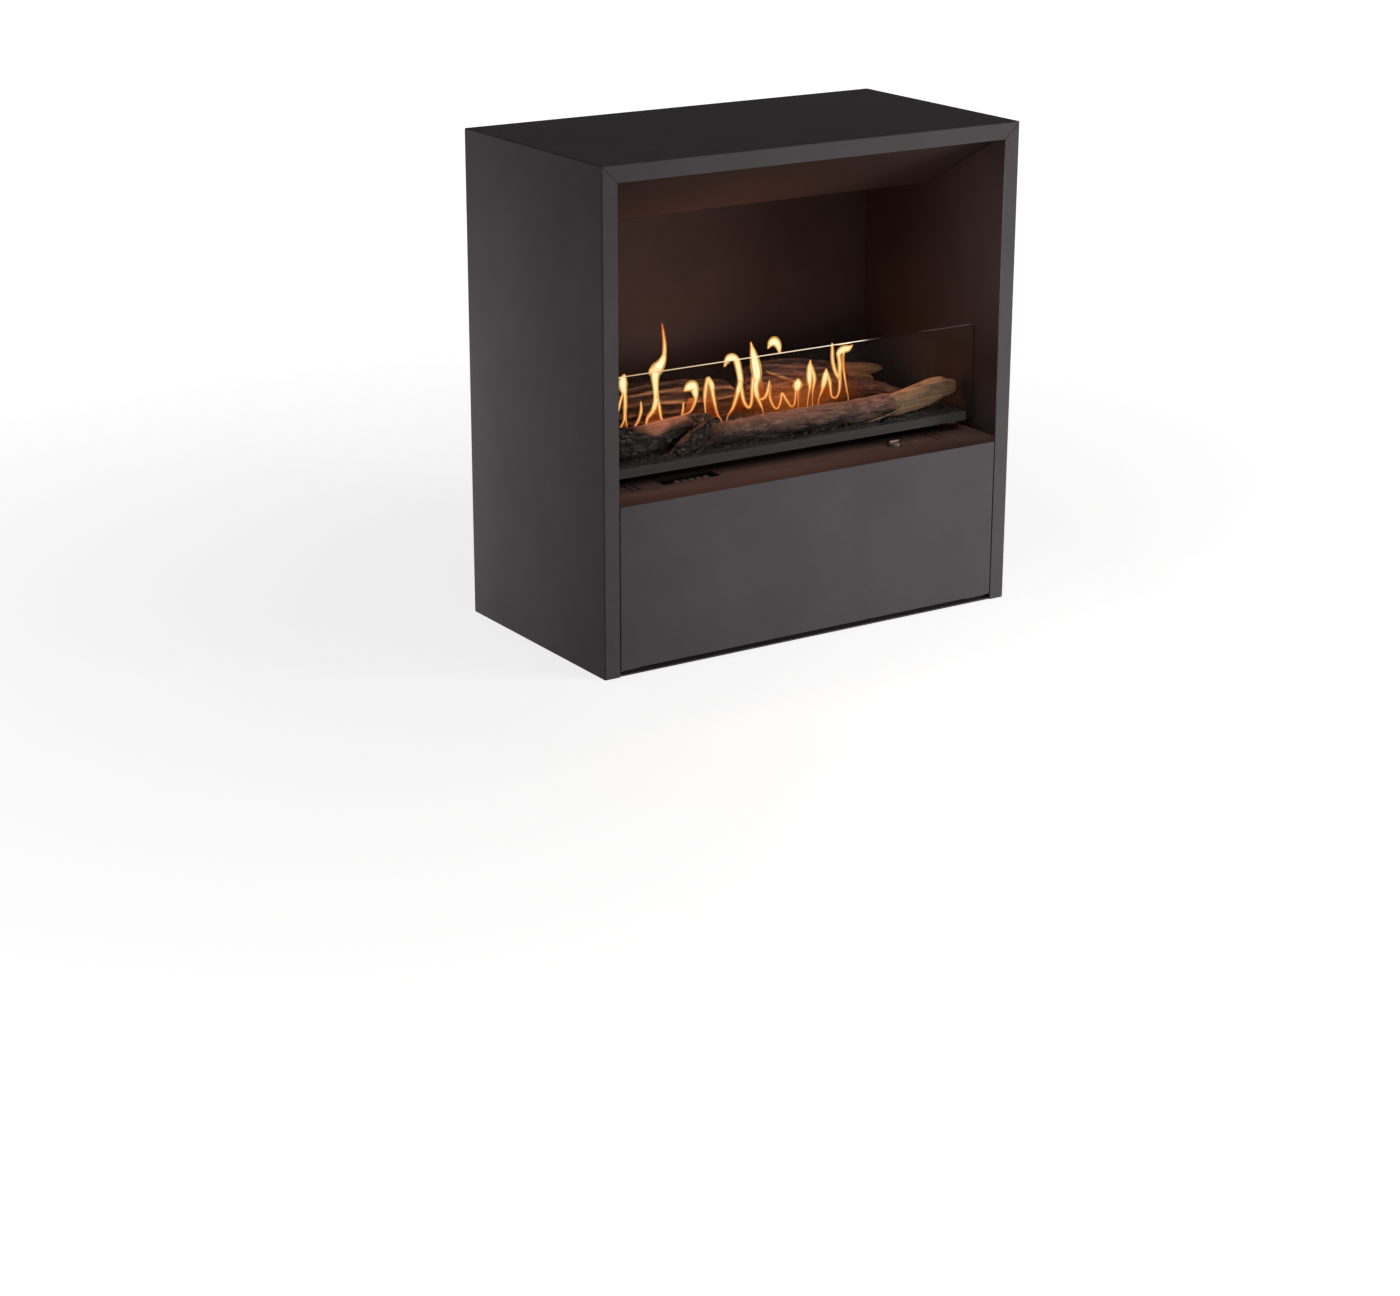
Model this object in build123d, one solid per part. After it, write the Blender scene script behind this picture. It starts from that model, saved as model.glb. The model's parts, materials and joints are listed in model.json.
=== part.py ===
from build123d import *
import math
import os

# Free-standing bioethanol fireplace: a folded steel casing round an open firebox,
# with an automatic burner hung under the service deck and ceramic logs over it.
# Millimetres. Origin at the middle of the base, +Z up, the open front faces -Y.

# ---------------------------------------------------------------- driving sizes
WIDTH = 650.0
DEPTH = 342.0
HEIGHT = 662.0
SHEET = 2.0
THIN = 1.5
FLANGE = 22.5
REAR_FLANGE = 15.0
FOLD_RADIUS = 1.8
MITRE_SLIT = 0.7
FIT = 0.2

X_OUT = WIDTH / 2
Y_FRONT = -DEPTH / 2
Y_BACK = DEPTH / 2
X_IN = X_OUT - SHEET
Z_TOP_IN = HEIGHT - SHEET
X_MOUTH = X_OUT - FLANGE
Z_MOUTH = HEIGHT - FLANGE

# Firebox
DECK_TOP = 226.7
DECK_BOTTOM = DECK_TOP - THIN
LINER_X = 319.5
LINER_FRONT = -150.0
LINER_BACK = 160.0
LINER_BACK_TOP = 600.0
BAFFLE_FRONT = (-148.0, 640.0)
BAFFLE_REAR = (15.0, 553.0)
BAFFLE_FLANGE = 12.0

# Front panel
PANEL_X = 301.0
PANEL_BOTTOM = 8.5
PANEL_RETURN = 15.0
STRIKER_THICKNESS = 1.5
MAGNET_RADIUS = 9.0
BRACKET_X = 282.5
BRACKET_Y = -157.0
MAGNET_LEVELS = (40.0, 180.0)

# Base and back
BASE_FLANGE = 20.0
BASE_BOLT_X = 302.0
BASE_BOLT_Y = 140.0
BASE_BOLT_RADIUS = 4.5
PANEL_VENT_COUNT = 22
PANEL_VENT_WIDTH = 4.0
PANEL_VENT_HEIGHT = 26.0
PANEL_VENT_PITCH = 22.0

# Deck features
SLOT_LENGTH = 36.0
SLOT_WIDTH = 3.6
SLOT_PLACES = ((-245.0, -96.5), (-233.5, -96.5), (243.5, -104.0), (255.0, -104.0))
RECESS_X = (-197.5, -107.5)
RECESS_Y = (-111.5, -84.0)
RECESS_DEPTH = 4.7
KEY_NAMES = ("power_key", "flame_up_key", "flame_down_key", "timer_key", "lock_key")
KEY_RADIUS = 4.2
KEY_PITCH = 11.25
KEY_FIRST_X = -166.5
KEY_Y = -95.0
KEY_TRAVEL = 1.0
WINDOW_X = -183.5
FILLER_X = 173.3
FILLER_Y = -111.5
FILLER_BORE = 8.0
FILLER_OUTER = 9.5
NECK_TOP = DECK_TOP + 3.4
CAP_WALL = 1.5
LIGHT_X = 214.7
BURNER_X = 284.0
BURNER_FRONT = -75.5
BURNER_REAR = 104.0

# Burner
TUB_X = 286.0
TUB_FRONT = -135.0
TUB_REAR = 112.0
TUB_FLOOR = 45.0
TUB_RIM = 12.0
TOP_PLATE_Z = 218.5
FLAME_Y = -8.0
SLOT_HALF_X = 194.0
SLOT_HALF_Y = 10.8
COLLAR_TOP = 262.0
TROUGH_X = 198.0
TROUGH_HALF_Y = 18.0
TROUGH_FLOOR = 170.0
TANK_X = (-40.0, 275.0)
TANK_Y = (-128.0, 100.0)
TANK_Z = (46.5, 128.0)
SENSOR_X = 120.0
SENSOR_Y = 0.0
FLOAT_TRAVEL = 50.0
PUMP_Y = 60.0
OUTLET_Y = 40.0
PUMP_Z = 72.0
PUMP_HEAD_X = -96.0
PUMP_HALF = 16.0
LINE_RADIUS = 3.0
FAN_SIDE = 60.0
FAN_DEPTH = 20.0
FAN_Y = -60.0
FAN_Z = 110.0
INLET_X = -250.0
INLET_Z = 72.0
ROCKER_Z = 104.0
ROCKER_PIVOT_Y = 163.0
ROCKER_TILT = 10.0

# Glass, tray, gravel and logs
RAIL_X = 302.0
RAIL_FRONT = -105.0
RAIL_Z = (242.5, 255.5)
RAIL_DEPTH = 7.5
RAIL_WALL = 1.0
GLASS_X = 315.0
GLASS_THICKNESS = 5.0
GLASS_TOP = 376.0
TRAY_X = 302.0
TRAY_FRONT = -97.5
TRAY_REAR = 96.0
TRAY_FLOOR = 243.5
TRAY_TOP = 255.0
TRAY_SLOT_X = 203.0
TRAY_SLOT_Y = 15.0
GRAVEL_TOP = 256.0
FOOT_X = 292.0
FOOT_Y = (-68.0, 82.0)
FOOT_RADIUS = 5.0


# ---------------------------------------------------------------- small helpers
def block(x0, x1, y0, y1, z0, z1):
    """A box between two corners."""
    centre = ((x0 + x1) / 2, (y0 + y1) / 2, (z0 + z1) / 2)
    return Pos(*centre) * Box(x1 - x0, y1 - y0, z1 - z0)


def post(x, y, z0, z1, radius):
    """An upright cylinder."""
    return Pos(x, y, (z0 + z1) / 2) * Cylinder(radius, z1 - z0)


def rod_x(x0, x1, y, z, radius):
    """A cylinder along X."""
    return Pos((x0 + x1) / 2, y, z) * Rot(0, 90, 0) * Cylinder(radius, x1 - x0)


def rod_y(x, y0, y1, z, radius):
    """A cylinder along Y."""
    return Pos(x, (y0 + y1) / 2, z) * Rot(90, 0, 0) * Cylinder(radius, y1 - y0)


def tray_shell(x0, x1, y0, y1, z0, z1, wall):
    """An open-topped folded box of even wall thickness."""
    return block(x0, x1, y0, y1, z0, z1) - block(
        x0 + wall, x1 - wall, y0 + wall, y1 - wall, z0 + wall, z1 + wall
    )


def hose(points, radii, radius):
    """A round hose along straight runs joined by tangent arcs."""
    path = FilletPolyline(*points, radius=radii)
    start = Plane(origin=path @ 0, z_dir=path % 0)
    return sweep(start * Circle(radius), path=path)


def save(name, shape):
    """Write one sub-part as one or more solids."""
    solids = shape.solids()
    out = solids[0] if len(solids) == 1 else Compound(children=list(solids))
    export_step(out, f"parts/{name}.step")


# ---------------------------------------------------------------- casing
def back_screw_places():
    """Places of the countersunk screws that hold the back panel."""
    side = X_OUT - REAR_FLANGE / 2 - 1.0
    places = [(sign * side, z) for z in (40.0, 235.0, 430.0, 620.0) for sign in (-1, 1)]
    return places + [(x, HEIGHT - REAR_FLANGE / 2 - 1.0) for x in (-200.0, 0.0, 200.0)]


def countersunk(x, z, length, shank, head):
    """A countersunk screw along Y with its head flush in the rear face."""
    head_depth = head - shank
    cone = Cone(shank, head, head_depth)
    turned = Rot(-90, 0, 0) * cone
    cap = Pos(x, Y_BACK - head_depth / 2, z) * turned
    return cap + rod_y(x, Y_BACK - length, Y_BACK - head_depth, z, shank)


def outer_casing():
    """Folded left wall, top and right wall with front and rear return flanges."""
    shell = block(-X_OUT, X_OUT, Y_FRONT, Y_BACK, 0, HEIGHT)
    shell -= block(-X_IN, X_IN, Y_FRONT + SHEET, Y_BACK - SHEET, -1, Z_TOP_IN)
    shell -= block(-X_MOUTH, X_MOUTH, Y_FRONT - 1, Y_FRONT + SHEET + 1, -1, Z_MOUTH)
    rear_x = X_OUT - REAR_FLANGE
    rear_z = HEIGHT - REAR_FLANGE
    shell -= block(-rear_x, rear_x, Y_BACK - SHEET - 1, Y_BACK + 1, -1, rear_z)
    outer = [
        edge
        for edge in shell.edges()
        if on_outer_fold(edge.center(), edge.length)
    ]
    shell = fillet(outer, FOLD_RADIUS)
    for sign in (-1, 1):
        shell -= mitre_cut(sign)
    for x, z in back_screw_places():
        shell -= rod_y(x, Y_BACK - SHEET - 1, Y_BACK + 1, z, 1.6)
        cone = Rot(-90, 0, 0) * Cone(1.6, 3.05, 1.45)
        shell -= Pos(x, Y_BACK - 0.725, z) * cone
    return shell


def on_outer_fold(point, length):
    """True for the casing's long outer edges, which are bends in the sheet."""
    if length < DEPTH / 2:
        return False
    on_side = abs(abs(point.X) - X_OUT) < 0.01
    on_top = abs(point.Z - HEIGHT) < 0.01
    on_face = abs(abs(point.Y) - Y_BACK) < 0.01
    return [on_side, on_top, on_face].count(True) == 2


def mitre_cut(sign):
    """The open slit where the top flange meets a side flange."""
    inner = (sign * X_MOUTH, Z_MOUTH)
    outer = (sign * (X_OUT - 3.0), HEIGHT - 3.0)
    length = math.hypot(outer[0] - inner[0], outer[1] - inner[1]) + 4.0
    middle = ((inner[0] + outer[0]) / 2, (inner[1] + outer[1]) / 2)
    slit = Rot(0, -45 * sign, 0) * Box(length, 2 * SHEET, MITRE_SLIT)
    return Pos(middle[0] - sign * 1.4, Y_FRONT, middle[1] - 1.4) * slit


def base_plate():
    """Bottom sheet with upturned side and rear flanges and four bolt holes."""
    x = X_IN
    rear = Y_BACK - SHEET - THIN - FIT
    plate = block(-x, x, Y_FRONT + SHEET + 0.1, rear, 0, SHEET)
    for sign in (-1, 1):
        low = min(sign * x, sign * (x - THIN))
        plate += block(low, low + THIN, Y_FRONT + 6, rear, 0, BASE_FLANGE)
    plate += block(-x + THIN, x - THIN, rear - THIN, rear, 0, BASE_FLANGE)
    for x_hole in (-BASE_BOLT_X, BASE_BOLT_X):
        for y_hole in (-BASE_BOLT_Y, BASE_BOLT_Y):
            plate -= post(x_hole, y_hole, -1, 5, BASE_BOLT_RADIUS)
    return plate


def back_panel():
    """Back sheet with two rows of vents and the mains module's cut-outs."""
    y0 = Y_BACK - SHEET - THIN
    panel = block(-X_IN + FIT, X_IN - FIT, y0, y0 + THIN, 0, Z_TOP_IN - FIT)
    first = -(PANEL_VENT_COUNT - 1) / 2 * PANEL_VENT_PITCH
    for level in (55.0, 615.0):
        for n in range(PANEL_VENT_COUNT):
            x = first + n * PANEL_VENT_PITCH
            if level < 100 and abs(x - INLET_X) < 40:
                continue
            panel -= vent_slot(x, level, y0)
    panel -= block(INLET_X - 14, INLET_X + 14, y0 - 1, y0 + 3, INLET_Z - 10, INLET_Z + 10)
    panel -= block(INLET_X - 10, INLET_X + 10, y0 - 1, y0 + 3, ROCKER_Z - 7, ROCKER_Z + 7)
    for x, z in back_screw_places():
        panel -= rod_y(x, y0 - 1, y0 + THIN + 1, z, 1.55)
    return panel


def vent_slot(x, z, y):
    """One round-ended upright vent through the back sheet."""
    half = (PANEL_VENT_HEIGHT - PANEL_VENT_WIDTH) / 2
    wide = PANEL_VENT_WIDTH / 2
    slot = block(x - wide, x + wide, y - 1, y + THIN + 1, z - half, z + half)
    slot += rod_y(x, y - 1, y + THIN + 1, z - half, wide)
    return slot + rod_y(x, y - 1, y + THIN + 1, z + half, wide)


def back_screws():
    """All countersunk screws of the back panel."""
    screws = [countersunk(x, z, 6.0, 1.5, 2.95) for x, z in back_screw_places()]
    return Compound(children=screws)


def deck_rails():
    """Angle rails on both casing walls that carry the deck."""
    rails = []
    for sign in (-1, 1):
        web = sorted((sign * X_IN, sign * (X_IN - SHEET)))
        rail = block(*web, -155, 155, DECK_BOTTOM - 22, DECK_BOTTOM)
        ledge = sorted((sign * X_IN, sign * (X_IN - 20)))
        rail += block(*ledge, -155, 155, DECK_BOTTOM - SHEET, DECK_BOTTOM)
        rails.append(rail)
    return Compound(children=rails)


# ---------------------------------------------------------------- front panel
def front_panel():
    """Flat fascia with side and bottom returns folded back."""
    y1 = Y_FRONT + SHEET
    panel = block(-PANEL_X, PANEL_X, Y_FRONT, y1, PANEL_BOTTOM, DECK_TOP)
    deep = y1 + PANEL_RETURN
    for sign in (-1, 1):
        low = min(sign * PANEL_X, sign * (PANEL_X - THIN))
        panel += block(low, low + THIN, y1, deep, PANEL_BOTTOM, DECK_BOTTOM - 24)
    panel += block(-PANEL_X, PANEL_X, y1, deep - 4, PANEL_BOTTOM, PANEL_BOTTOM + THIN)
    face_edges = panel.edges().filter_by(
        lambda e: abs(e.center().Y - Y_FRONT) < 0.01 and abs(e.center().Z - DECK_TOP) > 1
    )
    return fillet(face_edges, 0.8)


def magnet_places():
    """Centres of the magnets that hold the front panel, in X and Z."""
    return [(sign * BRACKET_X, z) for sign in (-1, 1) for z in MAGNET_LEVELS]


def panel_strikers():
    """Steel discs welded to the back of the front panel."""
    face = Y_FRONT + SHEET
    discs = [rod_y(x, face, face + STRIKER_THICKNESS, z, 10.0) for x, z in magnet_places()]
    return Compound(children=discs)


def panel_brackets():
    """Two upright strips on the base plate that carry magnets and panel."""
    out = []
    for sign in (-1, 1):
        x0 = sign * BRACKET_X - 12.5
        x1 = x0 + 25.0
        strip = block(x0, x1, BRACKET_Y, BRACKET_Y + SHEET, SHEET, 200)
        strip += block(x0, x1, BRACKET_Y, BRACKET_Y + 18, SHEET, 2 * SHEET)
        strip += block(x0, x1, BRACKET_Y - 10, BRACKET_Y, PANEL_BOTTOM - SHEET, PANEL_BOTTOM)
        for z in MAGNET_LEVELS:
            strip -= rod_y(sign * BRACKET_X, BRACKET_Y - 1, BRACKET_Y + SHEET + 1, z, 3.0)
        out.append(strip)
    return Compound(children=out)


def panel_magnets():
    """Cup magnets riveted through the brackets."""
    front = Y_FRONT + SHEET + STRIKER_THICKNESS
    cups = []
    for x, z in magnet_places():
        cup = rod_y(x, front, BRACKET_Y, z, MAGNET_RADIUS)
        cup += rod_y(x, BRACKET_Y, BRACKET_Y + SHEET, z, 2.95)
        cup += rod_y(x, BRACKET_Y + SHEET, BRACKET_Y + SHEET + 1.5, z, 5.0)
        cups.append(cup)
    return Compound(children=cups)


# ---------------------------------------------------------------- firebox
def deck_screw_places():
    """Screws that hang the burner tub under the deck."""
    side = [(sign * 292.0, y) for sign in (-1, 1) for y in (-20.0, 50.0)]
    return side + [(x, 118.0) for x in (-180.0, 0.0, 180.0)]


def deck_plate():
    """Service deck with vent slots, control cut-out, filler hole and burner opening."""
    x = X_IN - FIT
    front = Y_FRONT + SHEET + 0.1
    deck = block(-x, x, front, Y_BACK - SHEET - THIN - FIT, DECK_BOTTOM, DECK_TOP)
    fold = 20.0
    deck += block(-X_MOUTH, X_MOUTH, front, front + THIN, DECK_TOP - fold, DECK_BOTTOM)
    deck -= block(-BURNER_X, BURNER_X, BURNER_FRONT, BURNER_REAR, 0, 300)
    deck -= block(RECESS_X[0], RECESS_X[1], RECESS_Y[0], RECESS_Y[1], 0, 300)
    for x_slot, y_slot in SLOT_PLACES:
        deck -= deck_slot(x_slot, y_slot)
    deck -= post(FILLER_X, FILLER_Y, 0, 300, FILLER_OUTER + FIT)
    deck -= post(LIGHT_X, FILLER_Y + 4, 0, 300, 2.6)
    for x_hole, y_hole in deck_screw_places():
        deck -= post(x_hole, y_hole, DECK_BOTTOM - 1, DECK_TOP + 1, 2.05)
    return deck


def deck_slot(x, y):
    """One round-ended vent slot through the deck."""
    half = (SLOT_LENGTH - SLOT_WIDTH) / 2
    wide = SLOT_WIDTH / 2
    slot = block(x - wide, x + wide, y - half, y + half, 200, 240)
    slot += post(x, y - half, 200, 240, wide)
    return slot + post(x, y + half, 200, 240, wide)


def deck_screws():
    """Button-head screws through deck and tub flange."""
    screws = []
    for x, y in deck_screw_places():
        screw = post(x, y, DECK_BOTTOM - 8, DECK_TOP, 1.95)
        screw += post(x, y, DECK_TOP, DECK_TOP + 1.8, 3.6)
        screw -= Pos(x, y, DECK_TOP + 1.8) * extrude(RegularPolygon(1.4, 6), 1.2, both=True)
        screws.append(screw)
    return Compound(children=screws)


def liner_side(sign):
    """Firebox side sheet with a front return against the casing."""
    low = min(sign * LINER_X, sign * (LINER_X + THIN))
    wall = block(low, low + THIN, LINER_FRONT, LINER_BACK + THIN, DECK_TOP, Z_TOP_IN - 2)
    edge = min(sign * LINER_X, sign * X_IN)
    wide = X_IN - LINER_X
    wall += block(edge, edge + wide, LINER_FRONT, LINER_FRONT + THIN, DECK_TOP, Z_TOP_IN - 2)
    for y, z in baffle_screw_places():
        wall -= rod_x(low - 1, low + THIN + 1, y, z, 2.05)
    return wall


def liner_back():
    """Firebox back sheet, open above for air, with a hem folded back."""
    x = LINER_X
    wall = block(-x, x, LINER_BACK, LINER_BACK + THIN, DECK_TOP, LINER_BACK_TOP)
    return wall + block(-x, x, LINER_BACK, LINER_BACK + 5, LINER_BACK_TOP, LINER_BACK_TOP + THIN)


def baffle_direction():
    """Unit direction down the baffle, and its length, in the YZ plane."""
    dy = BAFFLE_REAR[0] - BAFFLE_FRONT[0]
    dz = BAFFLE_REAR[1] - BAFFLE_FRONT[1]
    length = math.hypot(dy, dz)
    return dy / length, dz / length, length


def baffle_screw_places():
    """Side screws of the baffle, in Y and Z, on its flanges' centre line."""
    dy, dz, length = baffle_direction()
    up = BAFFLE_FLANGE / 2 + 1
    return [
        (BAFFLE_FRONT[0] + dy * s - dz * up, BAFFLE_FRONT[1] + dz * s + dy * up)
        for s in (length * 0.25, length * 0.8)
    ]


def heat_baffle():
    """Sloping sheet under the casing's top, with side flanges folded up."""
    dy, dz, length = baffle_direction()
    x = LINER_X
    plane = Plane(
        origin=(0, BAFFLE_FRONT[0], BAFFLE_FRONT[1]), x_dir=(1, 0, 0), z_dir=(0, -dz, dy)
    )
    sheet = Pos(0, length / 2, THIN / 2) * Box(2 * x, length, THIN)
    for sign in (-1, 1):
        flange = Pos(sign * (x - THIN / 2), length / 2, BAFFLE_FLANGE / 2)
        sheet += flange * Box(THIN, length, BAFFLE_FLANGE)
    baffle = plane * sheet
    baffle &= block(-x, x, -200, 200, 500, Z_TOP_IN - 1)
    for y, z in baffle_screw_places():
        baffle -= rod_x(-X_OUT, X_OUT, y, z, 2.05)
    return baffle


def baffle_screws():
    """Rivets that hold the baffle's flanges to the side liners."""
    out = []
    for y, z in baffle_screw_places():
        for sign in (-1, 1):
            tip = sign * (LINER_X + THIN)
            inner = sign * (LINER_X - THIN)
            ends = sorted((inner, tip))
            rivet = rod_x(ends[0], ends[1], y, z, 1.95)
            head = sorted((inner, inner - sign * 1.6))
            out.append(rivet + rod_x(head[0], head[1], y, z, 3.8))
    return Compound(children=out)


# ---------------------------------------------------------------- burner
def burner_tub():
    """Floor sheet of the tub, welded between front and rear walls with turned-out rims."""
    x = TUB_X - THIN
    rim = DECK_BOTTOM - THIN
    floor = block(-x, x, TUB_FRONT + THIN, TUB_REAR - THIN, TUB_FLOOR, TUB_FLOOR + THIN)
    front = block(-x, x, TUB_FRONT, TUB_FRONT + THIN, TUB_FLOOR, DECK_BOTTOM)
    front += block(-x, x, TUB_FRONT - TUB_RIM, TUB_FRONT, rim, DECK_BOTTOM)
    rear = block(-x, x, TUB_REAR - THIN, TUB_REAR, TUB_FLOOR, DECK_BOTTOM)
    rear += block(-x, x, TUB_REAR, TUB_REAR + TUB_RIM, rim, DECK_BOTTOM)
    for x_hole, y_hole in deck_screw_places():
        front -= post(x_hole, y_hole, rim - 1, DECK_BOTTOM + 1, 1.98)
        rear -= post(x_hole, y_hole, rim - 1, DECK_BOTTOM + 1, 1.98)
    rear -= rod_y(INLET_X, TUB_REAR - 3, TUB_REAR + 1, INLET_Z, 6.0)
    return Compound(children=[floor, front, rear])


def tub_end(sign):
    """End plate of the tub with a turned-out rim, the left one open for the fan."""
    wall = sorted((sign * TUB_X, sign * (TUB_X - THIN)))
    end = block(*wall, TUB_FRONT, TUB_REAR, TUB_FLOOR, DECK_BOTTOM)
    rim = sorted((sign * TUB_X, sign * (TUB_X + TUB_RIM)))
    end += block(*rim, TUB_FRONT, TUB_REAR, DECK_BOTTOM - THIN, DECK_BOTTOM)
    for x_hole, y_hole in deck_screw_places():
        end -= post(x_hole, y_hole, DECK_BOTTOM - 10, DECK_BOTTOM + 1, 1.98)
    return end - rod_x(-TUB_X - 1, -TUB_X + 3, FAN_Y, FAN_Z, 27.0)


def burner_top():
    """Plate inside the tub under the deck opening, with the flame slot."""
    x = TUB_X - THIN
    rear = TUB_REAR - THIN
    front = BURNER_FRONT - 4
    top = block(-x, x, front, rear, TOP_PLATE_Z, TOP_PLATE_Z + THIN)
    skirt = block(-x, x, front, rear, TOP_PLATE_Z - 10, TOP_PLATE_Z)
    skirt -= block(-x + THIN, x - THIN, front + THIN, rear - THIN, 0, 300)
    top += skirt
    return top - block(
        -SLOT_HALF_X, SLOT_HALF_X, FLAME_Y - SLOT_HALF_Y, FLAME_Y + SLOT_HALF_Y, 0, 300
    )


def flame_collar():
    """Narrow chimney that leads the flames up through the tray."""
    z0 = TOP_PLATE_Z + THIN
    outer_y = SLOT_HALF_Y + THIN
    collar = block(
        -SLOT_HALF_X - THIN, SLOT_HALF_X + THIN, FLAME_Y - outer_y, FLAME_Y + outer_y, z0, COLLAR_TOP
    )
    return collar - block(
        -SLOT_HALF_X, SLOT_HALF_X, FLAME_Y - SLOT_HALF_Y, FLAME_Y + SLOT_HALF_Y, z0 - 1, 300
    )


def vapour_trough():
    """Channel under the flame slot where the fuel turns to vapour."""
    trough = tray_shell(
        -TROUGH_X,
        TROUGH_X,
        FLAME_Y - TROUGH_HALF_Y,
        FLAME_Y + TROUGH_HALF_Y,
        TROUGH_FLOOR,
        TOP_PLATE_Z,
        THIN,
    )
    trough -= rod_x(-TROUGH_X - 1, -TROUGH_X + 3, FLAME_Y, TROUGH_FLOOR + 12, 4.0)
    return trough - post(PUMP_HEAD_X, FLAME_Y, TROUGH_FLOOR - 1, TROUGH_FLOOR + 3, LINE_RADIUS)


def glow_heater():
    """Rod heater along the trough with its terminal end outside."""
    z = TROUGH_FLOOR + 12
    rod = rod_x(-TROUGH_X - 6, 150, FLAME_Y, z, 4.0)
    return rod + rod_x(-TROUGH_X - 18, -TROUGH_X, FLAME_Y, z, 7.0)


def flame_sensor():
    """Thin probe that stands in the flame slot."""
    probe = post(182.0, FLAME_Y, TROUGH_FLOOR + THIN + 8, 270, 1.6)
    return probe + post(182.0, FLAME_Y, TROUGH_FLOOR + THIN, TROUGH_FLOOR + THIN + 8, 4.0)


def fuel_tank():
    """Closed tank with a filler opening, a sensor hole and an outlet."""
    tank = block(*TANK_X, *TANK_Y, *TANK_Z)
    tank -= block(
        TANK_X[0] + THIN,
        TANK_X[1] - THIN,
        TANK_Y[0] + THIN,
        TANK_Y[1] - THIN,
        TANK_Z[0] + THIN,
        TANK_Z[1] - THIN,
    )
    tank -= post(FILLER_X, FILLER_Y, TANK_Z[1] - 3, TANK_Z[1] + 1, FILLER_BORE)
    tank -= post(SENSOR_X, SENSOR_Y, TANK_Z[1] - 3, TANK_Z[1] + 1, 3.0)
    return tank - rod_x(TANK_X[0] - 1, TANK_X[0] + 3, OUTLET_Y, PUMP_Z, LINE_RADIUS)


def filler_neck():
    """Tube from the tank's top up through the deck."""
    z0 = TANK_Z[1]
    neck = post(FILLER_X, FILLER_Y, z0, NECK_TOP, FILLER_OUTER)
    return neck - post(FILLER_X, FILLER_Y, z0 - 1, NECK_TOP + 1, FILLER_BORE)


def neck_seals():
    """Two sealing rings round the neck, on the tank and under the deck."""
    z0 = TANK_Z[1]
    lower = post(FILLER_X, FILLER_Y, z0, z0 + 2, FILLER_OUTER + 4)
    upper = post(FILLER_X, FILLER_Y, DECK_BOTTOM - 2, DECK_BOTTOM, FILLER_OUTER + 3)
    core = post(FILLER_X, FILLER_Y, z0 - 1, DECK_TOP, FILLER_OUTER)
    return Compound(children=[lower - core, upper - core])


def filler_cap():
    """Round cap that sits over the neck's end, with a raised grip bar."""
    z0 = DECK_TOP + 0.3
    z1 = NECK_TOP + CAP_WALL
    cap = post(FILLER_X, FILLER_Y, z0, z1, FILLER_OUTER + CAP_WALL)
    rim = cap.edges().filter_by(GeomType.CIRCLE).sort_by(Axis.Z)[-1]
    cap = fillet(rim, 1.0)
    cap -= post(FILLER_X, FILLER_Y, z0 - 1, NECK_TOP + 0.1, FILLER_OUTER + 0.1)
    bar = block(
        FILLER_X - 7.5, FILLER_X + 7.5, FILLER_Y - 1.6, FILLER_Y + 1.6, z1, z1 + 2.2
    )
    return cap + bar


def level_sensor():
    """Stem and head of the tank's level sensor."""
    stem = post(SENSOR_X, SENSOR_Y, TANK_Z[0] + 4, TANK_Z[1], 3.0)
    stem += post(SENSOR_X, SENSOR_Y, TANK_Z[0] + 3, TANK_Z[0] + 5, 6.0)
    head = post(SENSOR_X, SENSOR_Y, TANK_Z[1], TANK_Z[1] + 10, 9.0)
    return stem + head


def level_float():
    """Ring float that slides on the level sensor's stem."""
    z0 = TANK_Z[0] + 5.2
    ring = post(SENSOR_X, SENSOR_Y, z0, z0 + 14, 12.0)
    return ring - post(SENSOR_X, SENSOR_Y, z0 - 1, z0 + 15, 3.3)


def fuel_pump():
    """Small gear pump: square head with two spigots and a round motor behind."""
    head = block(
        PUMP_HEAD_X - PUMP_HALF,
        PUMP_HEAD_X + PUMP_HALF,
        PUMP_Y - PUMP_HALF,
        PUMP_Y + PUMP_HALF,
        PUMP_Z - PUMP_HALF,
        PUMP_Z + PUMP_HALF,
    )
    head = chamfer(head.edges().filter_by(Axis.X), 2.0)
    head += rod_x(PUMP_HEAD_X - PUMP_HALF - 40, PUMP_HEAD_X - PUMP_HALF, PUMP_Y, PUMP_Z, 14.0)
    return head + block(
        PUMP_HEAD_X - 12,
        PUMP_HEAD_X + 12,
        PUMP_Y - 22,
        PUMP_Y + 22,
        TUB_FLOOR + THIN,
        PUMP_Z - PUMP_HALF,
    )


def suction_line():
    """Hose from the tank's outlet to the pump."""
    start = TANK_X[0]
    end = PUMP_HEAD_X + PUMP_HALF
    points = [
        (start, OUTLET_Y, PUMP_Z),
        (start - 12, OUTLET_Y, PUMP_Z),
        (end + 12, PUMP_Y, PUMP_Z),
        (end, PUMP_Y, PUMP_Z),
    ]
    return hose(points, 10.0, LINE_RADIUS)


def feed_line():
    """Hose from the pump up to the vapour trough."""
    points = [
        (PUMP_HEAD_X, PUMP_Y, PUMP_Z + PUMP_HALF),
        (PUMP_HEAD_X, PUMP_Y, PUMP_Z + PUMP_HALF + 28),
        (PUMP_HEAD_X, FLAME_Y, TROUGH_FLOOR - 26),
        (PUMP_HEAD_X, FLAME_Y, TROUGH_FLOOR),
    ]
    return hose(points, 17.0, LINE_RADIUS)


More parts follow.
